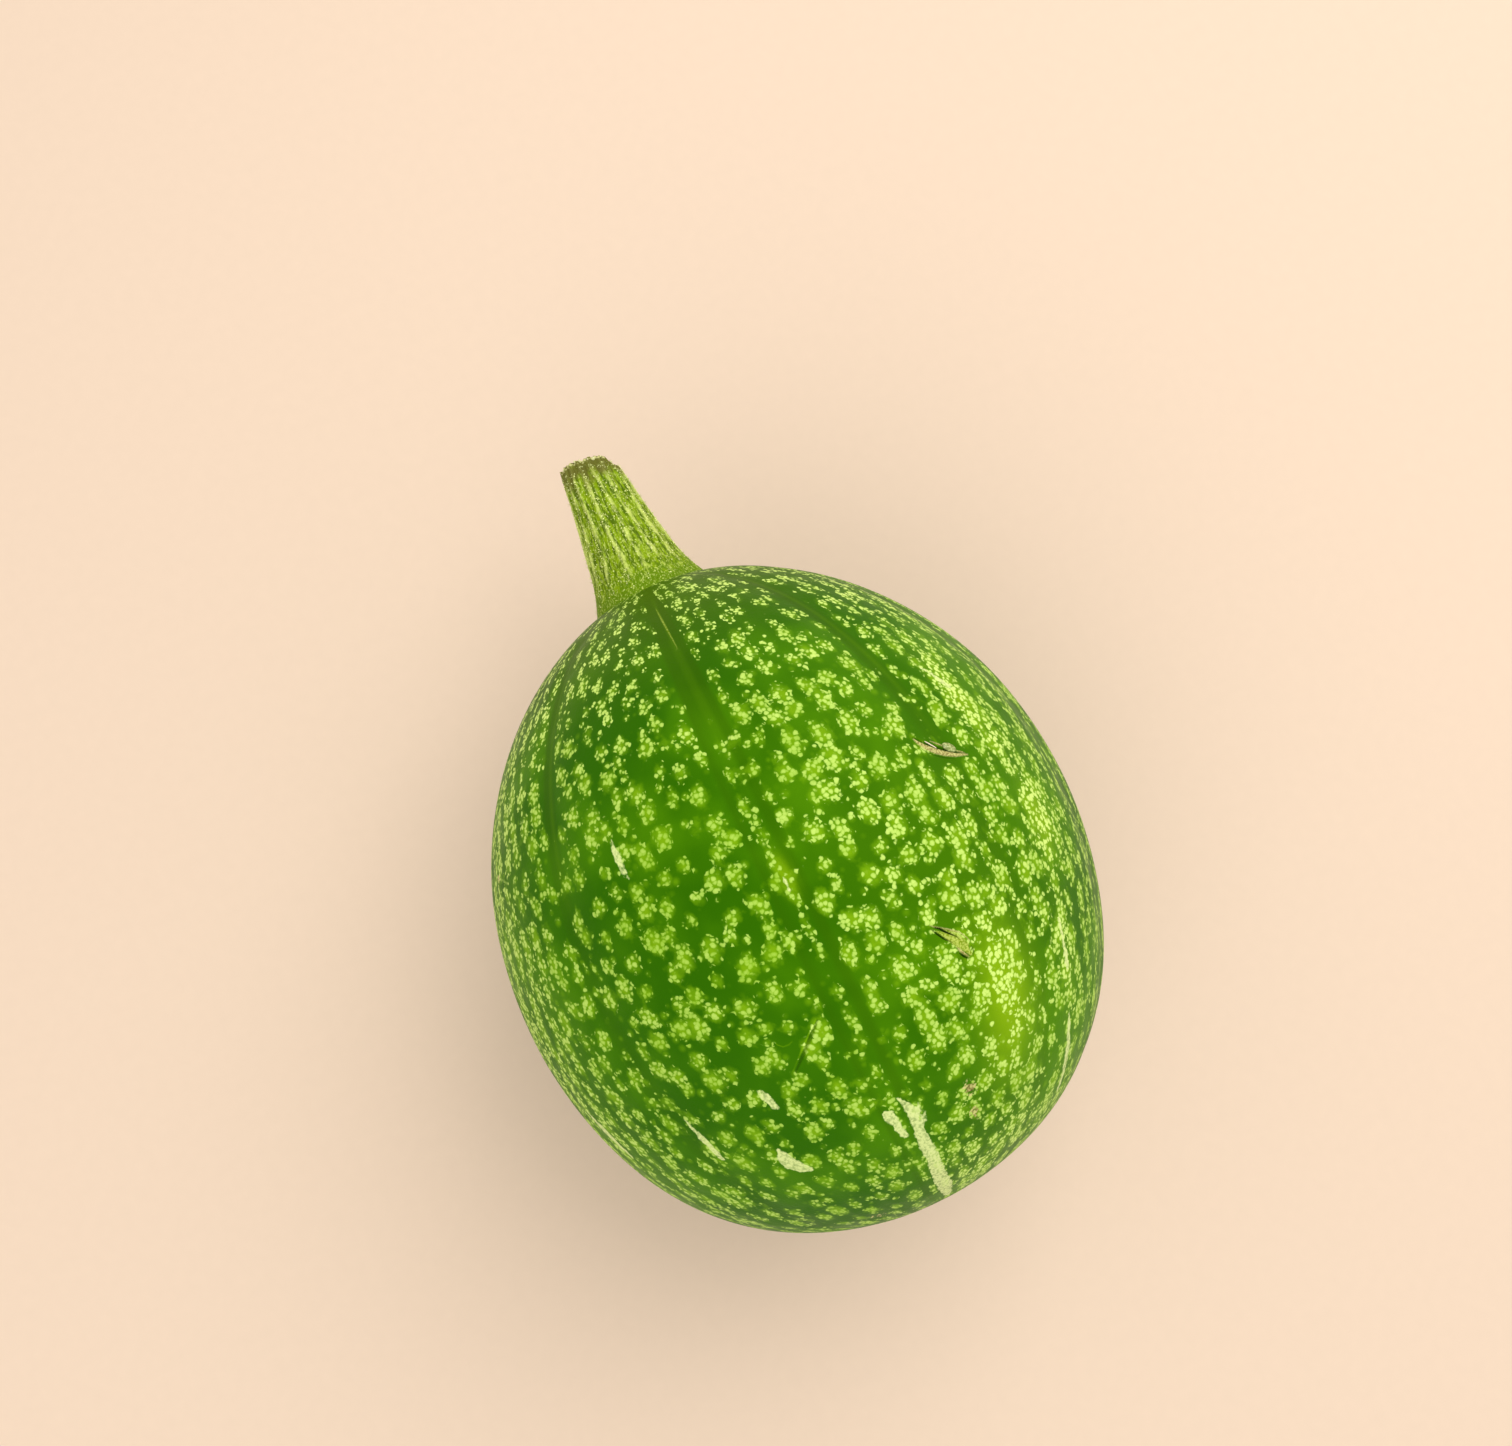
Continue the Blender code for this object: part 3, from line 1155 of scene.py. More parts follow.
@dataclass
class Rind:
    """The whole fruit's skin, from a sphere shaped by the form and cut flat where it rests."""

    form: FruitForm = FORM
    sides: int = 384
    rings: int = 192
    scar_cuts: int = 6
    scar_reach: float = 0.9
    mark_edge: float = 0.10
    undulation: float = 0.00009
    undulation_sink: float = 1.35
    normal_step: float = 0.0005
    main_band: tuple[float, float] = (4.0, 2.8)
    band_split: tuple[float, float] = (70.0, 94.0)
    band_line: tuple[float, float] = (1.1, 0.4)
    band_line_off: float = 2.5
    band_line_strength: float = 0.55
    side_band: tuple[float, float] = (2.5, 1.1)
    side_band_fade: tuple[float, float] = (118.0, 62.0)
    side_band_spread: tuple[float, float] = (16.0, 9.0)
    side_band_least: float = 0.35
    vein_off: float = 0.6
    vein_edge: tuple[float, float] = (0.75, 0.25)
    vein_start: tuple[float, float] = (26.0, 36.0)
    vein_end: tuple[float, float] = (118.0, 84.0)
    stalk_olive: tuple[float, float] = (78.0, 20.0)
    blossom_olive: tuple[float, float] = (30.0, 6.0)
    crisp_end: tuple[float, float] = (105.0, 42.0)
    tuft_strength: float = 1.15
    ring_strength: float = 0.60
    pale_mark_glow: float = 2.0
    flecks: Flecks = field(default_factory=Flecks)
    finish: RindFinish = field(default_factory=RindFinish)

    def ball_places(self, ball: np.ndarray) -> tuple[np.ndarray, np.ndarray]:
        """Angle in degrees and turn in radians of points about a ball's middle."""
        angle = np.degrees(np.arctan2(ball[:, 1], ball[:, 0]))
        return angle, np.arctan2(np.hypot(ball[:, 0], ball[:, 1]), ball[:, 2])

    def measures(self, turn: np.ndarray) -> tuple[np.ndarray, np.ndarray]:
        """Distance along the rind and the radius at a turn, in millimetres."""
        distance = np.interp(turn, self.form.turns(), self.form.distances()) / MM
        return distance, self.form.smooth_radius(turn) / MM

    def refine_scars(self, piece: bpy.types.Object) -> None:
        """Cuts the faces at the scars into finer ones, while the piece is still a ball.

        Args:
            piece: the ball.
        """
        bpy.ops.object.mode_set(mode="EDIT")
        bpy.ops.mesh.select_mode(type="FACE")
        mesh = bmesh.from_edit_mesh(piece.data)
        mesh.faces.ensure_lookup_table()
        centres = np.array([face.calc_center_median()[:] for face in mesh.faces])
        angle, turn = self.ball_places(centres)
        distance, reach = self.measures(turn)
        depths = [mark.line.depth(angle, distance, reach) for mark in MARKS]
        for face, depth in zip(mesh.faces, np.min(depths, axis=0)):
            face.select = bool(depth < self.scar_reach)
        mesh.select_flush_mode()
        bpy.ops.mesh.subdivide(number_cuts=self.scar_cuts)
        bpy.ops.object.mode_set(mode="OBJECT")

    def mark_share(self, mark: Mark, places: tuple[np.ndarray, np.ndarray, np.ndarray]) -> np.ndarray:
        """Finds which points a mark covers.

        Args:
            mark: the mark.
            places: the points' angles, distances and reaches, as Streak.depth() takes them.

        Returns:
            A share from 0 to 1 for each point.
        """
        return smooth_step(mark.line.depth(*places), self.mark_edge, -self.mark_edge)

    def relief(self, angle: np.ndarray, turn: np.ndarray) -> np.ndarray:
        """Shapes the scars and a slight unevenness, which never rises above the form.

        Args:
            angle: degrees round the fruit.
            turn: radians from the stalk end.

        Returns:
            Height in metres for each point.
        """
        distance, reach = self.measures(turn)
        x, y, z = self.form.growth(angle, turn).T
        waves = np.sin(x / 7.1 + np.sin(y / 11.0)) + np.sin(y / 8.3 + z / 13.0)
        waves = waves + np.sin(z / 6.4 + np.sin(x / 9.0))
        height = self.undulation * (waves / 3.0 - self.undulation_sink)
        for mark in MARKS:
            height = height + mark.height * MM * self.mark_share(mark, (angle, distance, reach))
        return height

    def outward(self, angle: np.ndarray, turn: np.ndarray) -> np.ndarray:
        """Finds the directions straight out of the form, along the fruit's own axis.

        Args:
            angle: degrees round the fruit.
            turn: radians from the stalk end.

        Returns:
            One row of three, of length 1, for each point.
        """
        before = self.form.skin(angle, np.clip(turn - self.normal_step, 0.0, np.pi))
        after = self.form.skin(angle, np.clip(turn + self.normal_step, 0.0, np.pi))
        along = after - before
        around = np.radians(angle)
        leaning = np.sign(along[:, 0] * np.cos(around) + along[:, 1] * np.sin(around))
        slope = np.hypot(along[:, 0], along[:, 1]) * leaning
        size = np.maximum(np.hypot(slope, along[:, 2]), 1.0e-12)
        side = -along[:, 2] / size
        return np.stack([side * np.cos(around), side * np.sin(around), slope / size], axis=-1)

    def shaped_sphere(self) -> bpy.types.Object:
        """Shapes a sphere into the fruit and lays it down.

        Returns:
            The piece, still without its flat spot.
        """
        sphere = bpy.ops.mesh.primitive_uv_sphere_add
        piece = add_shape(sphere, segments=self.sides, ring_count=self.rings, radius=1.0)
        self.refine_scars(piece)
        angle, turn = self.ball_places(points_of(piece.data))
        lifted = self.relief(angle, turn)[:, None] * self.outward(angle, turn)
        place_points(piece.data, moved(self.form.lying(), self.form.skin(angle, turn) + lifted))
        return piece

    def cut_flat(self) -> None:
        """Cuts the active piece off at the surface that it rests on."""
        bpy.ops.object.mode_set(mode="EDIT")
        bpy.ops.mesh.select_all(action="SELECT")
        bpy.ops.mesh.bisect(
            plane_co=(0.0, 0.0, 0.0),
            plane_no=(0.0, 0.0, 1.0),
            use_fill=True,
            clear_inner=True,
            threshold=1.0e-6,
        )
        bpy.ops.object.mode_set(mode="OBJECT")

    def bands(self, angle: np.ndarray, distance: np.ndarray) -> np.ndarray:
        """Draws a plain dark band along each furrow. The main one splits into a pair of lines.

        Args:
            angle: degrees round the fruit.
            distance: millimetres along the rind.

        Returns:
            How plain and dark each point is, from 0 to 1.
        """
        main = np.abs(turned(angle, self.form.furrows[0]))
        split = smooth_step(distance, *self.band_split)
        line = smooth_step(np.abs(main - self.band_line_off), *self.band_line)
        total = smooth_step(main, *self.main_band) * (1.0 - split) + self.band_line_strength * line * split
        for index, centre in enumerate(self.form.furrows[1:]):
            gone = self.side_band_fade[0] + self.side_band_spread[0] * math.sin(2.4 * index)
            whole_to = self.side_band_fade[1] + self.side_band_spread[1] * math.cos(1.7 * index)
            fade = smooth_step(distance, gone, whole_to)
            strength = self.side_band_least + (1.0 - self.side_band_least) * fade
            side = smooth_step(np.abs(turned(angle, centre)), *self.side_band)
            total = np.maximum(total, side * strength)
        return total

    def veins(self, angle: np.ndarray, distance: np.ndarray) -> np.ndarray:
        """Draws thin lighter lines along the middle of the bands, near the stalk end.

        Args:
            angle: degrees round the fruit.
            distance: millimetres along the rind.

        Returns:
            How strongly they show at each point, from 0 to 1.
        """
        total = np.zeros(angle.shape)
        for centre in self.form.furrows:
            off = np.abs(turned(angle, centre + self.vein_off))
            total = np.maximum(total, smooth_step(off, *self.vein_edge))
        return total * smooth_step(distance, *self.vein_end) * smooth_step(distance, *self.vein_start)

    def blossom_end(self, angle: np.ndarray, to_end: np.ndarray) -> tuple[np.ndarray, np.ndarray]:
        """Draws the corky tuft of the blossom scar and the dry ring round it.

        Args:
            angle: degrees round the fruit.
            to_end: millimetres along the rind to the blossom end.

        Returns:
            How strongly the tuft and the ring show at each point.
        """
        around = np.radians(angle)
        tuft = 4.4 + 0.5 * np.sin(5.0 * around) + 0.4 * np.sin(11.0 * around + 1.0)
        ring = 7.2 + 0.7 * np.sin(3.0 * around + 0.6) + 0.4 * np.sin(7.0 * around)
        tuft_share = self.tuft_strength * smooth_step(to_end, tuft + 1.6, tuft - 1.6)
        return tuft_share, self.ring_strength * smooth_step(np.abs(to_end - ring), 2.6, 0.6)

    def write_fields(self, mesh: bpy.types.Mesh) -> None:
        """Stores what the finish reads at each point.

        Args:
            mesh: the shaped rind.
        """
        angle, turn = self.form.locate(moved(self.form.lying().inverted(), points_of(mesh)))
        distance, reach = self.measures(turn)
        places = (angle, distance, reach)
        end = float(self.form.distances()[-1]) / MM
        looks = {look: np.zeros(angle.shape) for look in (Field.DRY, Field.PAINTED_SHADE, Field.SAP, Field.PALE_AND_HIGHLIGHT)}
        for mark in MARKS:
            shown = mark.strength * self.mark_share(mark, places)
            looks[mark.look] = np.maximum(looks[mark.look], shown)
        groups = (PALE_AND_HIGHLIGHT_PATCHES, WARM_PATCHES, SCAB_PATCHES)
        pale, warm, scabs = (sum(patch.share(*places) for patch in group) for group in groups)
        tuft, ring = self.blossom_end(angle, end - distance)
        fleck, glow = self.flecks.measure(angle, turn)
        streak = np.min([line.depth(*places) for line in STREAKS], axis=0)
        near_stalk = smooth_step(distance, *self.stalk_olive)
        near_blossom = smooth_step(end - distance, *self.blossom_olive)
        values = {
            Field.GROWTH: self.form.growth(angle, turn),
            Field.FLECK: fleck,
            Field.GLOW: glow,
            Field.BAND: self.bands(angle, distance),
            Field.VEIN: self.veins(angle, distance),
            Field.STREAK: np.clip(streak, -4.0, 6.0),
            Field.SCAB: scabs + tuft,
            Field.DRY: looks[Field.DRY],
            # Painted shade of the scars' grooves and shadows.
            Field.PAINTED_SHADE: looks[Field.PAINTED_SHADE],
            Field.SAP: np.maximum(looks[Field.SAP], ring),
            # Pale field: the rind's own paler tone with painted highlight and sheen, plus the scratch's
            # painted crest highlight.
            Field.PALE_AND_HIGHLIGHT: pale + self.pale_mark_glow * looks[Field.PALE_AND_HIGHLIGHT],
            Field.WARM: warm,
            Field.ENDS: np.maximum(near_stalk, near_blossom),
            Field.CRISP: smooth_step(distance, *self.crisp_end),
        }
        for name, value in values.items():
            write_field(mesh, name, value)

    def build(self) -> None:
        """Builds and dresses the rind."""
        piece = self.shaped_sphere()
        self.cut_flat()
        self.write_fields(piece.data)
        dress(piece, "rind_skin", self.finish.material())
        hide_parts("fruit")


@dataclass(frozen=True)
class StalkFinish:
    """Matt yellow-green stalk with pale ridge lines, darker valleys and a dry tan cut."""

    flesh: Color = (0.200, 0.320, 0.003)
    valley: Color = (0.066, 0.124, 0.001)
    ridge: Color = (0.560, 0.670, 0.165)
    foot: Color = (0.105, 0.205, 0.001)
    dry: Color = (0.110, 0.105, 0.018)
    bundle: Color = (0.300, 0.290, 0.090)
    fibre: Color = (0.560, 0.560, 0.240)
    pith: Color = (0.640, 0.640, 0.360)
    grain: tuple[float, float, float] = (1.0, 1.0, 0.16)
    strand_size: float = 0.9
    fine_size: float = 0.35
    speck_size: float = 0.55
    patch_size: float = 3.5
    roughness: float = 0.58
    specular: float = 0.06
    bump_depth: float = 0.00018

    def material(self) -> bpy.types.Material:
        """Makes the stalk's material.

        Returns:
            The material.
        """
        sheet = NodeSheet("stalk")
        growth = sheet.field(Field.GROWTH).outputs["Vector"]
        rise = sheet.number(Field.RISE)
        drawn = sheet.vector("MULTIPLY", growth, self.grain)
        strands = sheet.noise(drawn, self.strand_size, 3.0)
        fine = sheet.noise(drawn, self.fine_size)
        specks = sheet.noise(growth, self.speck_size)
        patchy = sheet.noise(growth, self.patch_size)

        fading = sheet.sum(sheet.swing(strands, 1.2), sheet.swing(patchy, 1.6))
        broken = sheet.step(sheet.sum(sheet.number(Field.RIDGE), fading), 0.26, 1.05)
        uneven = sheet.sum(rise, sheet.swing(strands, 0.34))
        upper = sheet.step(uneven, 0.06, 0.30)
        dried = sheet.step(sheet.sum(rise, sheet.swing(patchy, 0.36)), 0.78, 0.95)
        lip = sheet.times(sheet.step(rise, 0.972, 0.986), sheet.step(specks, 0.44, 0.54))
        layers = (
            (sheet.step(uneven, 0.19, 0.02), self.foot),
            (sheet.times(sheet.times(broken, upper), 0.80), self.ridge),
            (sheet.times(sheet.step(fine, 0.55, 0.70), 0.55), self.ridge),
            (sheet.times(sheet.step(specks, 0.60, 0.68), 0.65), self.ridge),
            (sheet.times(sheet.step(specks, 0.42, 0.32), 0.50), self.valley),
            (sheet.times(dried, 0.88), self.dry),
            (sheet.times(lip, 0.85), self.fibre),
            (sheet.step(sheet.number(Field.CUT), 0.02, 0.10), self.cut_color(sheet, specks, patchy)),
        )
        body = sheet.blend(sheet.step(strands, 0.38, 0.60), self.valley, self.flesh)
        sheet.bump(sheet.sum(strands, sheet.times(specks, 0.6)), self.bump_depth)
        return sheet.coat(sheet.layered(body, layers), self.roughness, self.specular)

    def cut_color(self, sheet: NodeSheet, specks: Socket, patchy: Socket) -> Socket:
        """Colours the face of the cut: fibres round a pale pith, and a firmer brown ring.

        Args:
            sheet: node tree to add to.
            specks: fine noise.
            patchy: coarse noise.

        Returns:
            The face's colour.
        """
        cut = sheet.number(Field.CUT)
        ring = sheet.times(sheet.step(cut, 0.26, 0.14), sheet.step(patchy, 0.35, 0.65))
        layers = ((sheet.step(cut, 0.50, 0.85), self.pith), (ring, self.dry))
        return sheet.layered(sheet.blend(sheet.step(specks, 0.30, 0.56), self.bundle, self.fibre), layers)


@dataclass(frozen=True)
class Ridge:
    """One ridge of the stalk: angle from its top and half width in degrees, height in millimetres.

    The pale line on its crest is given as a share of the half width.
    """

    angle: float
    height: float
    half_width: float
    line: float = 0.62


STALK_RIDGES = (
    Ridge(6.0, 0.42, 6.0), Ridge(29.0, 0.36, 6.5), Ridge(54.0, 0.50, 7.5, 0.8),
    Ridge(80.0, 0.62, 8.5, 1.3), Ridge(104.0, 0.40, 7.0), Ridge(128.0, 0.46, 7.0),
    Ridge(153.0, 0.40, 6.5), Ridge(178.0, 0.52, 8.0, 0.9), Ridge(203.0, 0.38, 6.5),
    Ridge(227.0, 0.50, 7.5, 0.8), Ridge(251.0, 0.40, 7.0), Ridge(276.0, 0.62, 8.5, 1.3),
    Ridge(300.0, 0.36, 6.0, 0.8), Ridge(321.0, 0.48, 6.5), Ridge(346.0, 0.44, 6.0),
)


@dataclass
class Stalk:
    """The cut stalk: ribbed, flaring to a foot on the rind, with a ragged, slightly slanting cut."""

    form: FruitForm = FORM
    ridges: tuple[Ridge, ...] = STALK_RIDGES
    length: float = 0.0376
    cut_radius: float = 0.0066
    widening: float = 0.0057
    foot_flare: float = 0.0034
    foot_power: int = 6
    foot_lobes: float = 0.14
    strand_height: float = 0.05
    slant: float = 8.0
    dish: float = 0.0008
    face_bumps: float = 0.00012
    rim_sink: float = 0.0002
    seat_sink: float = 0.0004
    sides: int = 320
    rings: int = 130
    cap_rings: int = 12
    shoulder_angle: float = 84.0
    shoulder_inset: float = 0.0010
    shoulder_drop: float = 0.0017
    seed: int = 23
    finish: StalkFinish = field(default_factory=StalkFinish)

    def ripple(self, angle: np.ndarray, low: int, high: int, seed: int) -> np.ndarray:
        """Smooth random wave round the stalk, between about -1 and 1.

        Args:
            angle: degrees round the stalk.
            low: fewest waves in a round.
            high: most waves in a round.
            seed: which random wave.

        Returns:
            The wave's height at each angle.
        """
        draw = np.random.default_rng(self.seed + seed)
        around = np.radians(angle)
        total = np.zeros(np.shape(angle))
        for waves in range(low, high + 1):
            total = total + draw.normal() * np.sin(waves * around + draw.uniform(0.0, 2.0 * math.pi))
        return total / math.sqrt(high - low + 1)

    def ridge_share(self, angle: np.ndarray, share: np.ndarray) -> tuple[np.ndarray, np.ndarray]:
        """Shapes the ridges, which wander a little on their way up.

        Args:
            angle: degrees round the stalk from its top.
            share: 0 at the foot, 1 at the cut.

        Returns:
            Their height in millimetres, and how near each place is to a crest.
        """
        height = np.zeros(angle.shape)
        crest = np.zeros(angle.shape)
        highest = max(ridge.height for ridge in self.ridges)
        for index, ridge in enumerate(self.ridges):
            centre = ridge.angle + 3.4 * np.sin(4.0 * share + 1.9 * index)
            centre = centre + 1.2 * np.sin(11.0 * share + 2.7 * index)
            off = turned(turned(angle, 0.0) - turned(centre, 0.0), 0.0)
            height = height + ridge.height * np.exp(-(off / ridge.half_width) ** 2)
            line = off / (ridge.line * ridge.half_width)
            crest = np.maximum(crest, np.sqrt(ridge.height / highest) * np.exp(-line ** 2))
        return height, crest

    def shoulder(self, angle: np.ndarray, half_width: float) -> np.ndarray:
        """How near an angle is to the worn side of the rim, from 0 to 1."""
        return np.exp(-(turned(angle, self.shoulder_angle) / half_width) ** 2)

    def radius(self, angle: np.ndarray, share: np.ndarray) -> np.ndarray:
        """Shapes the stalk's side.

        Args:
            angle: degrees round the stalk from its top.
            share: 0 at the foot, 1 at the cut.

        Returns:
            Radius in metres for each point.
        """
        down = 1.0 - share
        body = self.cut_radius + self.widening * down
        lobes = 1.0 + self.foot_lobes * self.ripple(angle, 4, 9, 1)
        body = body + self.foot_flare * down ** self.foot_power * lobes
        ridges, _ = self.ridge_share(angle, share)
        fine = self.ripple(angle, 34, 60, 2)
        coarse = self.ripple(angle + 30.0 * share, 16, 30, 3)
        strands = self.strand_height * fine + self.strand_height * coarse
        relief = (ridges + strands) * np.minimum(1.0, 3.0 * share + 0.08) * MM
        worn = self.shoulder(angle, 34.0) * smooth_step(share, 0.93, 1.0)
        return body + relief - self.shoulder_inset * worn

    def surface(self, angle: np.ndarray, share: np.ndarray, inward: np.ndarray) -> np.ndarray:
        """Points of the stalk along the fruit's own axis.

        Args:
            angle: degrees round the stalk from its top.
            share: 0 at the foot, 1 at the cut.
            inward: 1 on the side, 0 on the axis.

        Returns:
            One row of three metres for each point.
        """
        reach = self.radius(angle, share) * inward
        around = np.radians(angle)
        foot = self.form.seat(reach) - self.seat_sink
        ragged = 0.20 + 0.22 * self.ripple(angle, 5, 14, 4) + 0.18 * self.ripple(angle, 18, 40, 5)
        ragged = np.clip(ragged, 0.0, 1.1) * MM * inward ** 3
        worn = self.shoulder_drop * self.shoulder(angle, 30.0) * inward ** 2
        slant = math.tan(math.radians(self.slant)) * reach * np.sin(around)
        bumps = self.face_bumps * self.ripple(angle + 400.0 * inward, 6, 20, 6)
        top = self.form.half_length + self.length - slant - self.dish * (1.0 - inward ** 2) - self.rim_sink
        rim = smooth_step(share, 0.86, 1.0)
        along = foot + (top - foot) * share - (ragged + worn) * rim - bumps * (1.0 - inward) * rim
        return np.stack([reach * np.cos(around), reach * np.sin(around), along], axis=-1)

    def rod(self) -> bpy.types.Object:
        """Builds a unit cylinder cut into rings, with ringed ends.

        Returns:
            The cylinder.
        """
        cylinder = bpy.ops.mesh.primitive_cylinder_add
        piece = add_shape(cylinder, vertices=self.sides, radius=1.0, depth=1.0)
        cut_uprights(piece, self.rings)
        bpy.ops.object.mode_set(mode="EDIT")
        bpy.ops.mesh.select_mode(type="FACE")
        mesh = bmesh.from_edit_mesh(piece.data)
        for face in mesh.faces:
            face.select = abs(face.normal.z) > 0.5
        mesh.select_flush_mode()
        for _ in range(self.cap_rings - 1):
            bpy.ops.mesh.inset(thickness=1.0 / self.cap_rings, use_even_offset=False)
        bpy.ops.mesh.poke()
        bpy.ops.object.mode_set(mode="OBJECT")
        return piece

    def build(self) -> None:
        """Builds and dresses the stalk, its rings closer together at both ends."""
        piece = self.rod()
        rod = points_of(piece.data)
        angle = np.degrees(np.arctan2(rod[:, 1], rod[:, 0]))
        inward = np.clip(np.hypot(rod[:, 0], rod[:, 1]), 0.0, 1.0)
        level = np.clip(rod[:, 2] + 0.5, 0.0, 1.0)
        share = np.clip(0.5 * level ** 1.5 + 0.5 * (1.0 - (1.0 - level) ** 1.4), 0.0, 1.0)
        points = self.surface(angle, share, inward)
        place_points(piece.data, moved(self.form.lying(), points))
        _, crest = self.ridge_share(angle, share)
        write_field(piece.data, Field.GROWTH, points / MM)
        write_field(piece.data, Field.RIDGE, crest)
        write_field(piece.data, Field.RISE, share)
        write_field(piece.data, Field.CUT, np.where(share > 0.999, 1.0 - inward, 0.0))
        dress(piece, "stalk_ribs", self.finish.material())
        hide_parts("stalk")


@dataclass(frozen=True)
class MottledFinish:
    """A plain finish that mottles between two colours.

    The mottling's size is in metres, or in millimetres where the mesh carries its growth.
    """

    name: str
    dark: Color
    light: Color
    size: float
    edges: tuple[float, float] | None = None
    roughness: float = 0.5
    detail: float = 2.0
    grown: bool = False

    def material(self) -> bpy.types.Material:
        """Makes the finish's material.

        Returns:
            The material.
        """
        sheet = NodeSheet(self.name)
        where = sheet.field(Field.GROWTH).outputs["Vector"] if self.grown else sheet.metres()
        mottle = sheet.noise(where, self.size, self.detail)
        share = sheet.step(mottle, *self.edges) if self.edges else mottle
        return sheet.coat(sheet.blend(share, self.dark, self.light), self.roughness)


HAIRS = MottledFinish(
    "hairs", (0.496, 0.5456, 0.2046), (0.800, 0.880, 0.330), 2.5, (0.35, 0.65), grown=True
)
DRIED_SAP = MottledFinish("dried_sap", (0.42, 0.42, 0.16), (0.78, 0.80, 0.48), 0.0006)
SAP_FILM = MottledFinish("sap_film", (0.165, 0.220, 0.045), (0.420, 0.480, 0.190), 0.0005, (0.42, 0.66), 0.22)
STRAND = MottledFinish("strand", (0.62, 0.48, 0.34), (0.86, 0.76, 0.60), 0.0003)
FLOOR = MottledFinish("floor", (0.6384, 0.5088, 0.4032), (0.665, 0.53, 0.42), 0.004, None, 0.8, 3.0)


@dataclass
class StalkHairs:
    """Short stiff hairs and their bases on the stalk, one bent cone repeated."""

    stalk: Stalk
    count: int = 2400
    rise: tuple[float, float] = (0.03, 0.95)
    crest_share: float = 0.6
    stub_share: float = 0.55
    hair_length: tuple[float, float] = (0.00045, 0.0013)
    hair_radius: float = 0.00006
    stub_length: tuple[float, float] = (0.00014, 0.00034)
    stub_radius: float = 0.00024
    root_depth: float = 0.00005
    lean_ahead: float = 0.45
    lean_aside: float = 0.35
    bend: float = 0.6
    seed: int = 31
    finish: MottledFinish = HAIRS

    def cone(self) -> tuple[np.ndarray, list[list[int]]]:
        """Builds one upright cone, one unit high, cut twice across.

        Returns:
            Its points and its faces.
        """
        cone = bpy.ops.mesh.primitive_cone_add
        piece = add_shape(cone, vertices=4, radius1=1.0, radius2=0.0, depth=1.0, location=(0.0, 0.0, 0.5))
        bpy.ops.object.transform_apply(location=True, rotation=False, scale=False)
        cut_uprights(piece, 2)
        points = points_of(piece.data)
        faces = [list(face.vertices) for face in piece.data.polygons]
        bpy.data.objects.remove(piece, do_unlink=True)
        return points, faces

    def stance(self, angle: np.ndarray, share: np.ndarray) -> tuple[np.ndarray, ...]:
        """Finds where hairs stand and the directions there.

        Args:
            angle: degrees round the stalk.
            share: 0 at the foot, 1 at the cut.

        Returns:
            Rows of three: places, and directions round the stalk, along it and straight out.
        """
        one = np.ones(self.count)
        surface = self.stalk.surface
        side = unit(surface(angle + 1.5, share, one) - surface(angle - 1.5, share, one))
        ahead = surface(angle, share + 0.01, one) - surface(angle, share - 0.01, one)
        out = unit(np.cross(side, ahead))
        return surface(angle, share, one), side, np.cross(out, side), out

    def build(self) -> None:
        """Builds and dresses the hairs as one mesh."""
        cone, cone_faces = self.cone()
        draw = np.random.default_rng(self.seed)
        count = self.count
        angle = draw.uniform(-180.0, 180.0, count)
        on_crest = draw.uniform(0.0, 1.0, count) < self.crest_share
        crests = np.array([ridge.angle for ridge in self.stalk.ridges])
        nearest = crests[draw.integers(0, len(crests), count)] + draw.normal(0.0, 2.5, count)
        share = draw.uniform(*self.rise, count) ** 0.9
        base, side, ahead, out = self.stance(np.where(on_crest, nearest, angle), share)
        lean = out + draw.normal(0.0, self.lean_ahead, (count, 1)) * ahead
        lean = lean + draw.normal(0.0, self.lean_aside, (count, 1)) * side
        bend = draw.normal(0.0, self.bend, (count, 1)) * ahead
        bend = bend + draw.normal(0.0, self.bend, (count, 1)) * side
        stub = draw.uniform(0.0, 1.0, count) < self.stub_share
        short = draw.uniform(*self.stub_length, count)
        long = draw.uniform(*self.hair_length, count)
        length = np.where(stub, short, long)[:, None, None]
        radius = np.where(stub, self.stub_radius, self.hair_radius) * draw.uniform(0.7, 1.2, count)
        height = cone[:, 2][None, :, None]
        flat = cone[:, 0][None, :, None] * side[:, None, :] + cone[:, 1][None, :, None] * ahead[:, None, :]
        grown = height * unit(lean)[:, None, :] + 0.5 * height ** 2 * bend[:, None, :]
        root = base[:, None, :] - self.root_depth * out[:, None, :]
        points = (root + grown * length + flat * radius[:, None, None]).reshape(-1, 3)
        starts = range(0, len(points), len(cone))
        faces = [[start + corner for corner in face] for start in starts for face in cone_faces]
        mesh = bpy.data.meshes.new("stalk_hairs")
        mesh.from_pydata(moved(FORM.lying(), points).tolist(), [], faces)
        mesh.update()
        write_field(mesh, Field.GROWTH, points / MM)
        piece = bpy.data.objects.new("stalk_hairs", mesh)
        bpy.context.scene.collection.objects.link(piece)
        dress(piece, "stalk_hairs", self.finish.material())


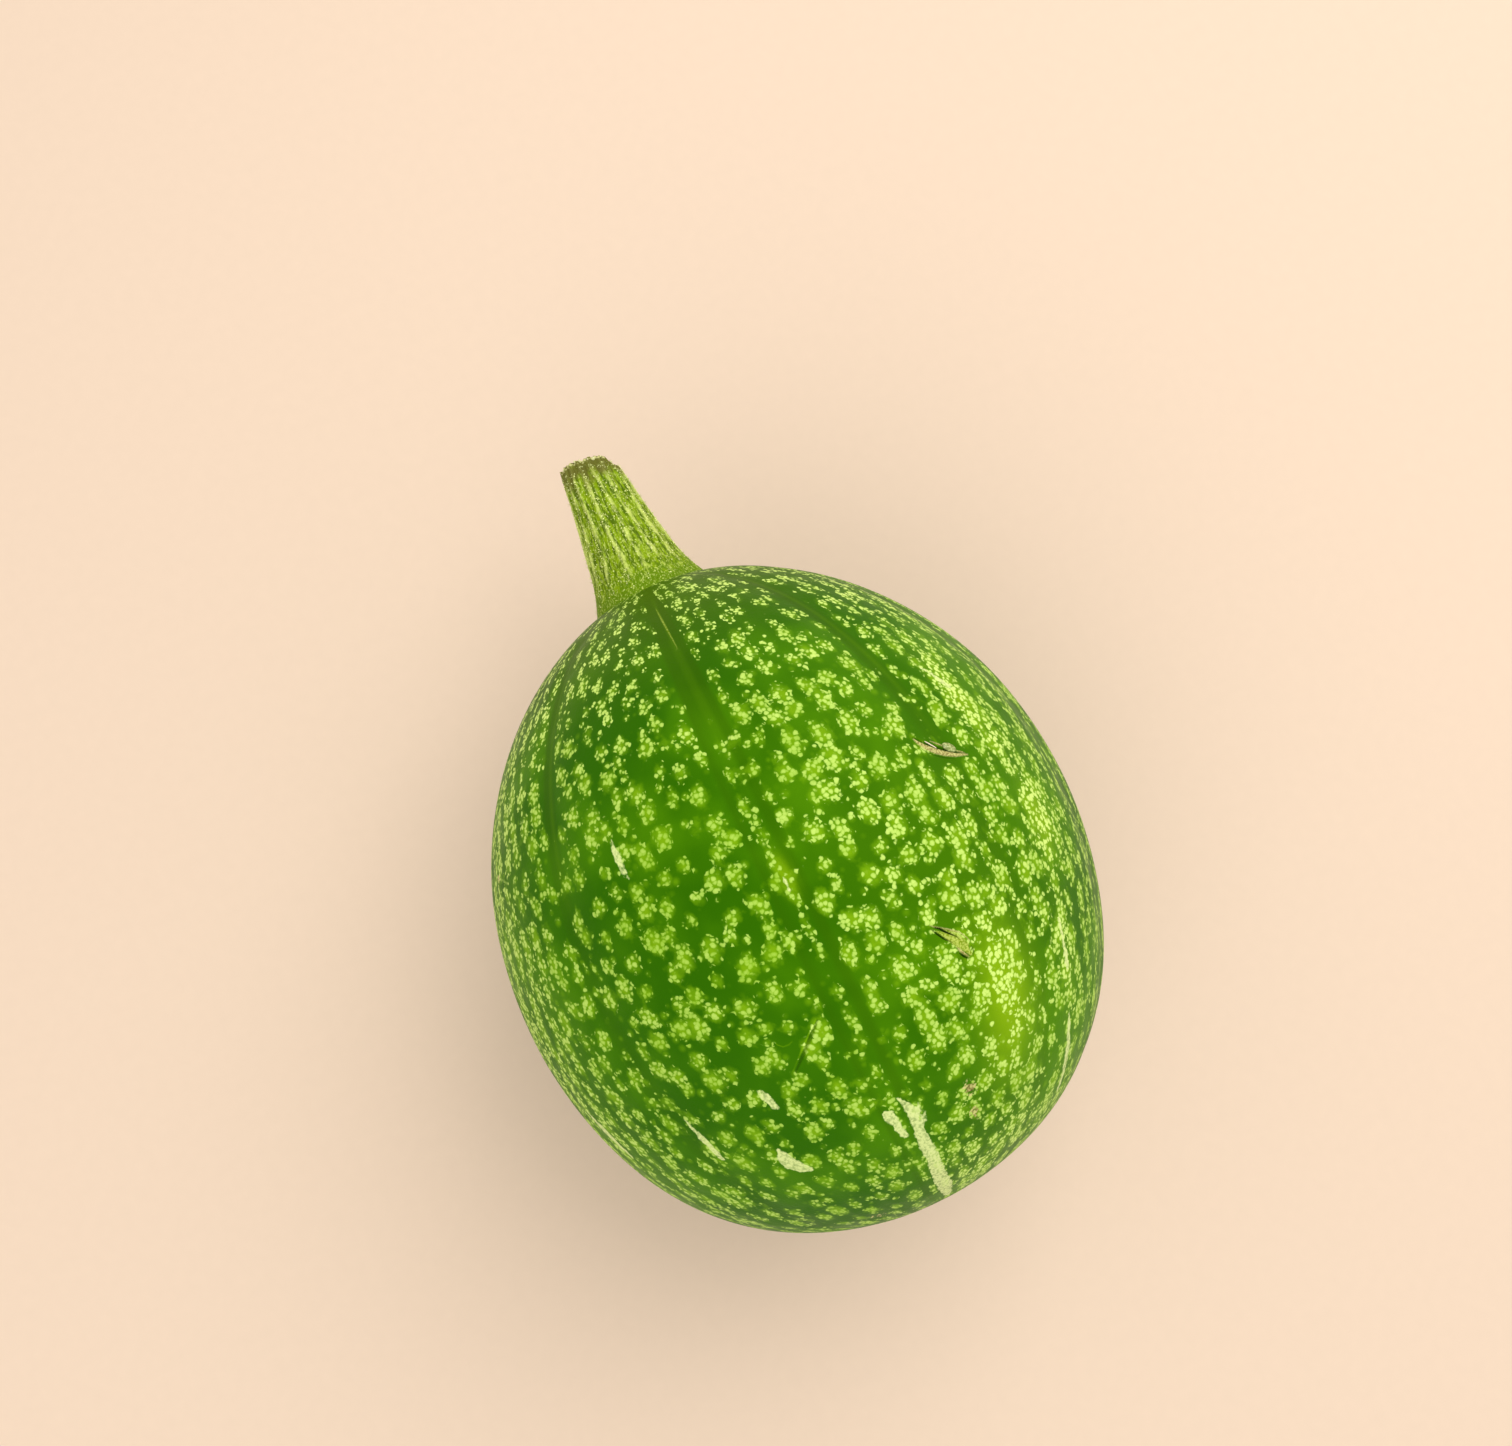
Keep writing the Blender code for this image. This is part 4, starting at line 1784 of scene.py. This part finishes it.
@dataclass
class SapBeads:
    """Beads of dried pale sap along the rim of the cut, one lumpy ball repeated."""

    stalk: Stalk
    count: int = 26
    size: tuple[float, float] = (0.00022, 0.00046)
    rise: tuple[float, float] = (0.972, 1.0)
    inward: float = 0.985
    lumpiness: float = 0.16
    seed: int = 47
    finish: MottledFinish = DRIED_SAP

    def lumpy_ball(self) -> bpy.types.Object:
        """Builds one small uneven ball.

        Returns:
            The ball, with a radius of about 1.
        """
        ball = add_shape(bpy.ops.mesh.primitive_ico_sphere_add, subdivisions=2, radius=1.0)
        bpy.ops.object.mode_set(mode="EDIT")
        bpy.ops.mesh.select_all(action="SELECT")
        bpy.ops.transform.vertex_random(offset=self.lumpiness, seed=5)
        bpy.ops.object.mode_set(mode="OBJECT")
        return ball

    def build(self) -> None:
        """Builds and dresses the beads as one mesh."""
        draw = np.random.default_rng(self.seed)
        ball = self.lumpy_ball()
        shape = points_of(ball.data)
        angle = np.sort(draw.uniform(-180.0, 180.0, self.count))
        share = draw.uniform(*self.rise, self.count)
        rim = self.stalk.surface(angle, share, np.full(self.count, self.inward))
        size = draw.uniform(*self.size, (self.count, 1)) * draw.uniform(0.7, 1.2, (self.count, 3))
        beads = []
        for place, reach in zip(rim, size):
            bead = ball.copy()
            bead.data = ball.data.copy()
            bpy.context.scene.collection.objects.link(bead)
            place_points(bead.data, moved(FORM.lying(), place + shape * reach))
            beads.append(bead)
        bpy.data.objects.remove(ball, do_unlink=True)
        bpy.ops.object.select_all(action="DESELECT")
        for bead in beads:
            bead.select_set(True)
        bpy.context.view_layer.objects.active = beads[0]
        bpy.ops.object.join()
        dress(beads[0], "cut_beads", self.finish.material())


@dataclass
class SlitBits:
    """What stands proud of the slit: a half dome of dried sap and a loose pale strand."""

    rind: Rind
    bubble_place: tuple[float, float] = (36.55, 111.15)
    bubble_end: tuple[float, float] = (37.75, 112.5)
    bubble_size: tuple[float, float, float] = (0.00185, 0.00105, 0.00062)
    strand: tuple[tuple[float, float], ...] = (
        (32.1, 107.6), (32.5, 108.2), (32.9, 108.85), (33.3, 109.5), (33.7, 110.2),
    )
    strand_radius: float = 0.00013
    strand_lift: float = 0.00034

    def spot(self, angle: float, distance: float) -> tuple[Vector, Vector]:
        """Finds a point of the rind where the fruit lies.

        Args:
            angle: degrees round the fruit.
            distance: millimetres along the rind.

        Returns:
            The point and the direction straight out of it.
        """
        form = self.rind.form
        lying = form.lying()
        angles = np.array([angle])
        turns = np.array([float(form.turn_at(distance))])
        point = lying @ Vector(form.skin(angles, turns)[0].tolist())
        out = lying.to_3x3() @ Vector(self.rind.outward(angles, turns)[0].tolist())
        return point, out.normalized()

    def bubble(self) -> None:
        """Builds and dresses the half dome at the slit's upper edge."""
        piece = add_shape(bpy.ops.mesh.primitive_uv_sphere_add, segments=40, ring_count=20, radius=1.0)
        point, out = self.spot(*self.bubble_place)
        ahead = self.spot(*self.bubble_end)[0] - point
        ahead = (ahead - out * ahead.dot(out)).normalized()
        turn = Matrix((ahead, out.cross(ahead), out)).transposed()
        shape = points_of(piece.data) * np.array(self.bubble_size)
        place_points(piece.data, moved(Matrix.Translation(point) @ turn.to_4x4(), shape))
        dress(piece, "slit_sap", SAP_FILM.material())

    def loose_strand(self) -> None:
        """Builds and dresses the pale strand that lies along the slit, thin at both ends."""
        piece = add_shape(bpy.ops.mesh.primitive_cylinder_add, vertices=10, radius=1.0, depth=1.0)
        cut_uprights(piece, 15)
        rod = points_of(piece.data)
        places = [self.spot(*place) for place in self.strand]
        path = np.array([(point + out * self.strand_lift)[:] for point, out in places])
        out = places[len(places) // 2][1]
        ahead = Vector((path[-1] - path[0]).tolist()).normalized()
        side = out.cross(ahead).normalized()
        level = rod[:, 2] + 0.5
        stops = np.linspace(0.0, 1.0, len(path))
        middle = np.stack([np.interp(level, stops, path[:, axis]) for axis in range(3)], axis=-1)
        thin = self.strand_radius * np.sqrt(np.clip(1.0 - (2.0 * level - 1.0) ** 4, 0.02, 1.0))
        ring = rod[:, 0:1] * np.array(side[:]) + rod[:, 1:2] * np.array(out[:])
        place_points(piece.data, middle + ring * thin[:, None])
        dress(piece, "slit_strand", STRAND.material())

    def build(self) -> None:
        """Builds and dresses both."""
        self.bubble()
        self.loose_strand()


@dataclass(frozen=True)
class Lamp:
    """A soft square light that faces the fruit, its place and side in metres, its power in watts."""

    name: str
    place: tuple[float, float, float]
    size: float
    power: float
    color: Color

    def add(self) -> None:
        """Hangs the light in its place."""
        data = bpy.data.lights.new(self.name, "AREA")
        data.shape = "SQUARE"
        data.size = self.size
        data.energy = self.power
        data.color = self.color
        light = bpy.data.objects.new(self.name, data)
        place = Vector(self.place)
        aim = FORM.lying().translation - place
        light.matrix_world = Matrix.Translation(place) @ aim.to_track_quat("-Z", "Y").to_matrix().to_4x4()
        bpy.context.scene.collection.objects.link(light)


LAMPS = (
    Lamp("key", (0.55, 0.35, 1.0), 0.9, 8.4, (1.0, 0.97, 0.92)),
    Lamp("fill", (-0.6, -0.6, 0.9), 1.2, 4.6, (1.0, 0.97, 0.94)),
)


@dataclass
class Studio:
    """Plain pale floor, soft lights and the camera at the photograph's place."""

    image_width: int = 1512
    image_height: int = 1446
    focal_pixels: float = 1515.0
    fruit_pixel: tuple[float, float] = (789.1, 886.2)
    fruit_depth: float = 0.3897
    camera_elevation: float = 82.685
    camera_turn: float = -25.726
    sensor: float = 36.0
    floor_size: float = 30.0
    sky_color: Color = (1.0, 0.95, 0.88)
    sky_strength: float = 0.92

    def add_camera(self) -> None:
        """Camera over the fruit, placed so that the fruit's middle falls on its pixel."""
        down = math.radians(self.camera_elevation)
        turn = Matrix.Rotation(math.radians(self.camera_turn), 3, "Z")
        turn = turn @ Matrix.Rotation(math.pi / 2.0 - down, 3, "X")
        across = (self.fruit_pixel[0] - self.image_width / 2.0) / self.focal_pixels
        below = (self.fruit_pixel[1] - self.image_height / 2.0) / self.focal_pixels
        offset = Vector((across, -below, -1.0)) * self.fruit_depth
        place = FORM.lying().translation - turn @ offset
        data = bpy.data.cameras.new("camera")
        data.sensor_fit = "HORIZONTAL"
        data.sensor_width = self.sensor
        data.lens = self.sensor * self.focal_pixels / self.image_width
        data.clip_start = 0.01
        camera = bpy.data.objects.new("camera", data)
        camera.matrix_world = Matrix.Translation(place) @ turn.to_4x4()
        bpy.context.scene.collection.objects.link(camera)
        bpy.context.scene.camera = camera

    def add_floor(self) -> None:
        """Pale plain floor."""
        floor = add_shape(bpy.ops.mesh.primitive_plane_add, size=self.floor_size, location=(0.0, 0.0, 0.0))
        floor.name = "floor"
        floor.data.materials.append(FLOOR.material())

    def add_world(self) -> None:
        """Even pale light from all round."""
        world = bpy.data.worlds.new("surroundings")
        world.use_nodes = True
        background = world.node_tree.nodes["Background"]
        background.inputs["Color"].default_value = (*self.sky_color, 1.0)
        background.inputs["Strength"].default_value = self.sky_strength
        bpy.context.scene.world = world

    def build(self) -> None:
        """Builds the floor, the lights and the camera."""
        bpy.context.scene.view_settings.view_transform = "Standard"
        self.add_camera()
        self.add_floor()
        self.add_world()
        for lamp in LAMPS:
            lamp.add()


def main() -> None:
    """Builds every piece of the gourd and its studio."""
    logging.basicConfig(level=logging.INFO, format="%(message)s")
    Studio().build()
    rind = Rind()
    rind.build()
    SlitBits(rind).build()
    stalk = Stalk()
    stalk.build()
    StalkHairs(stalk).build()
    SapBeads(stalk).build()


if __name__ == "__main__":
    main()
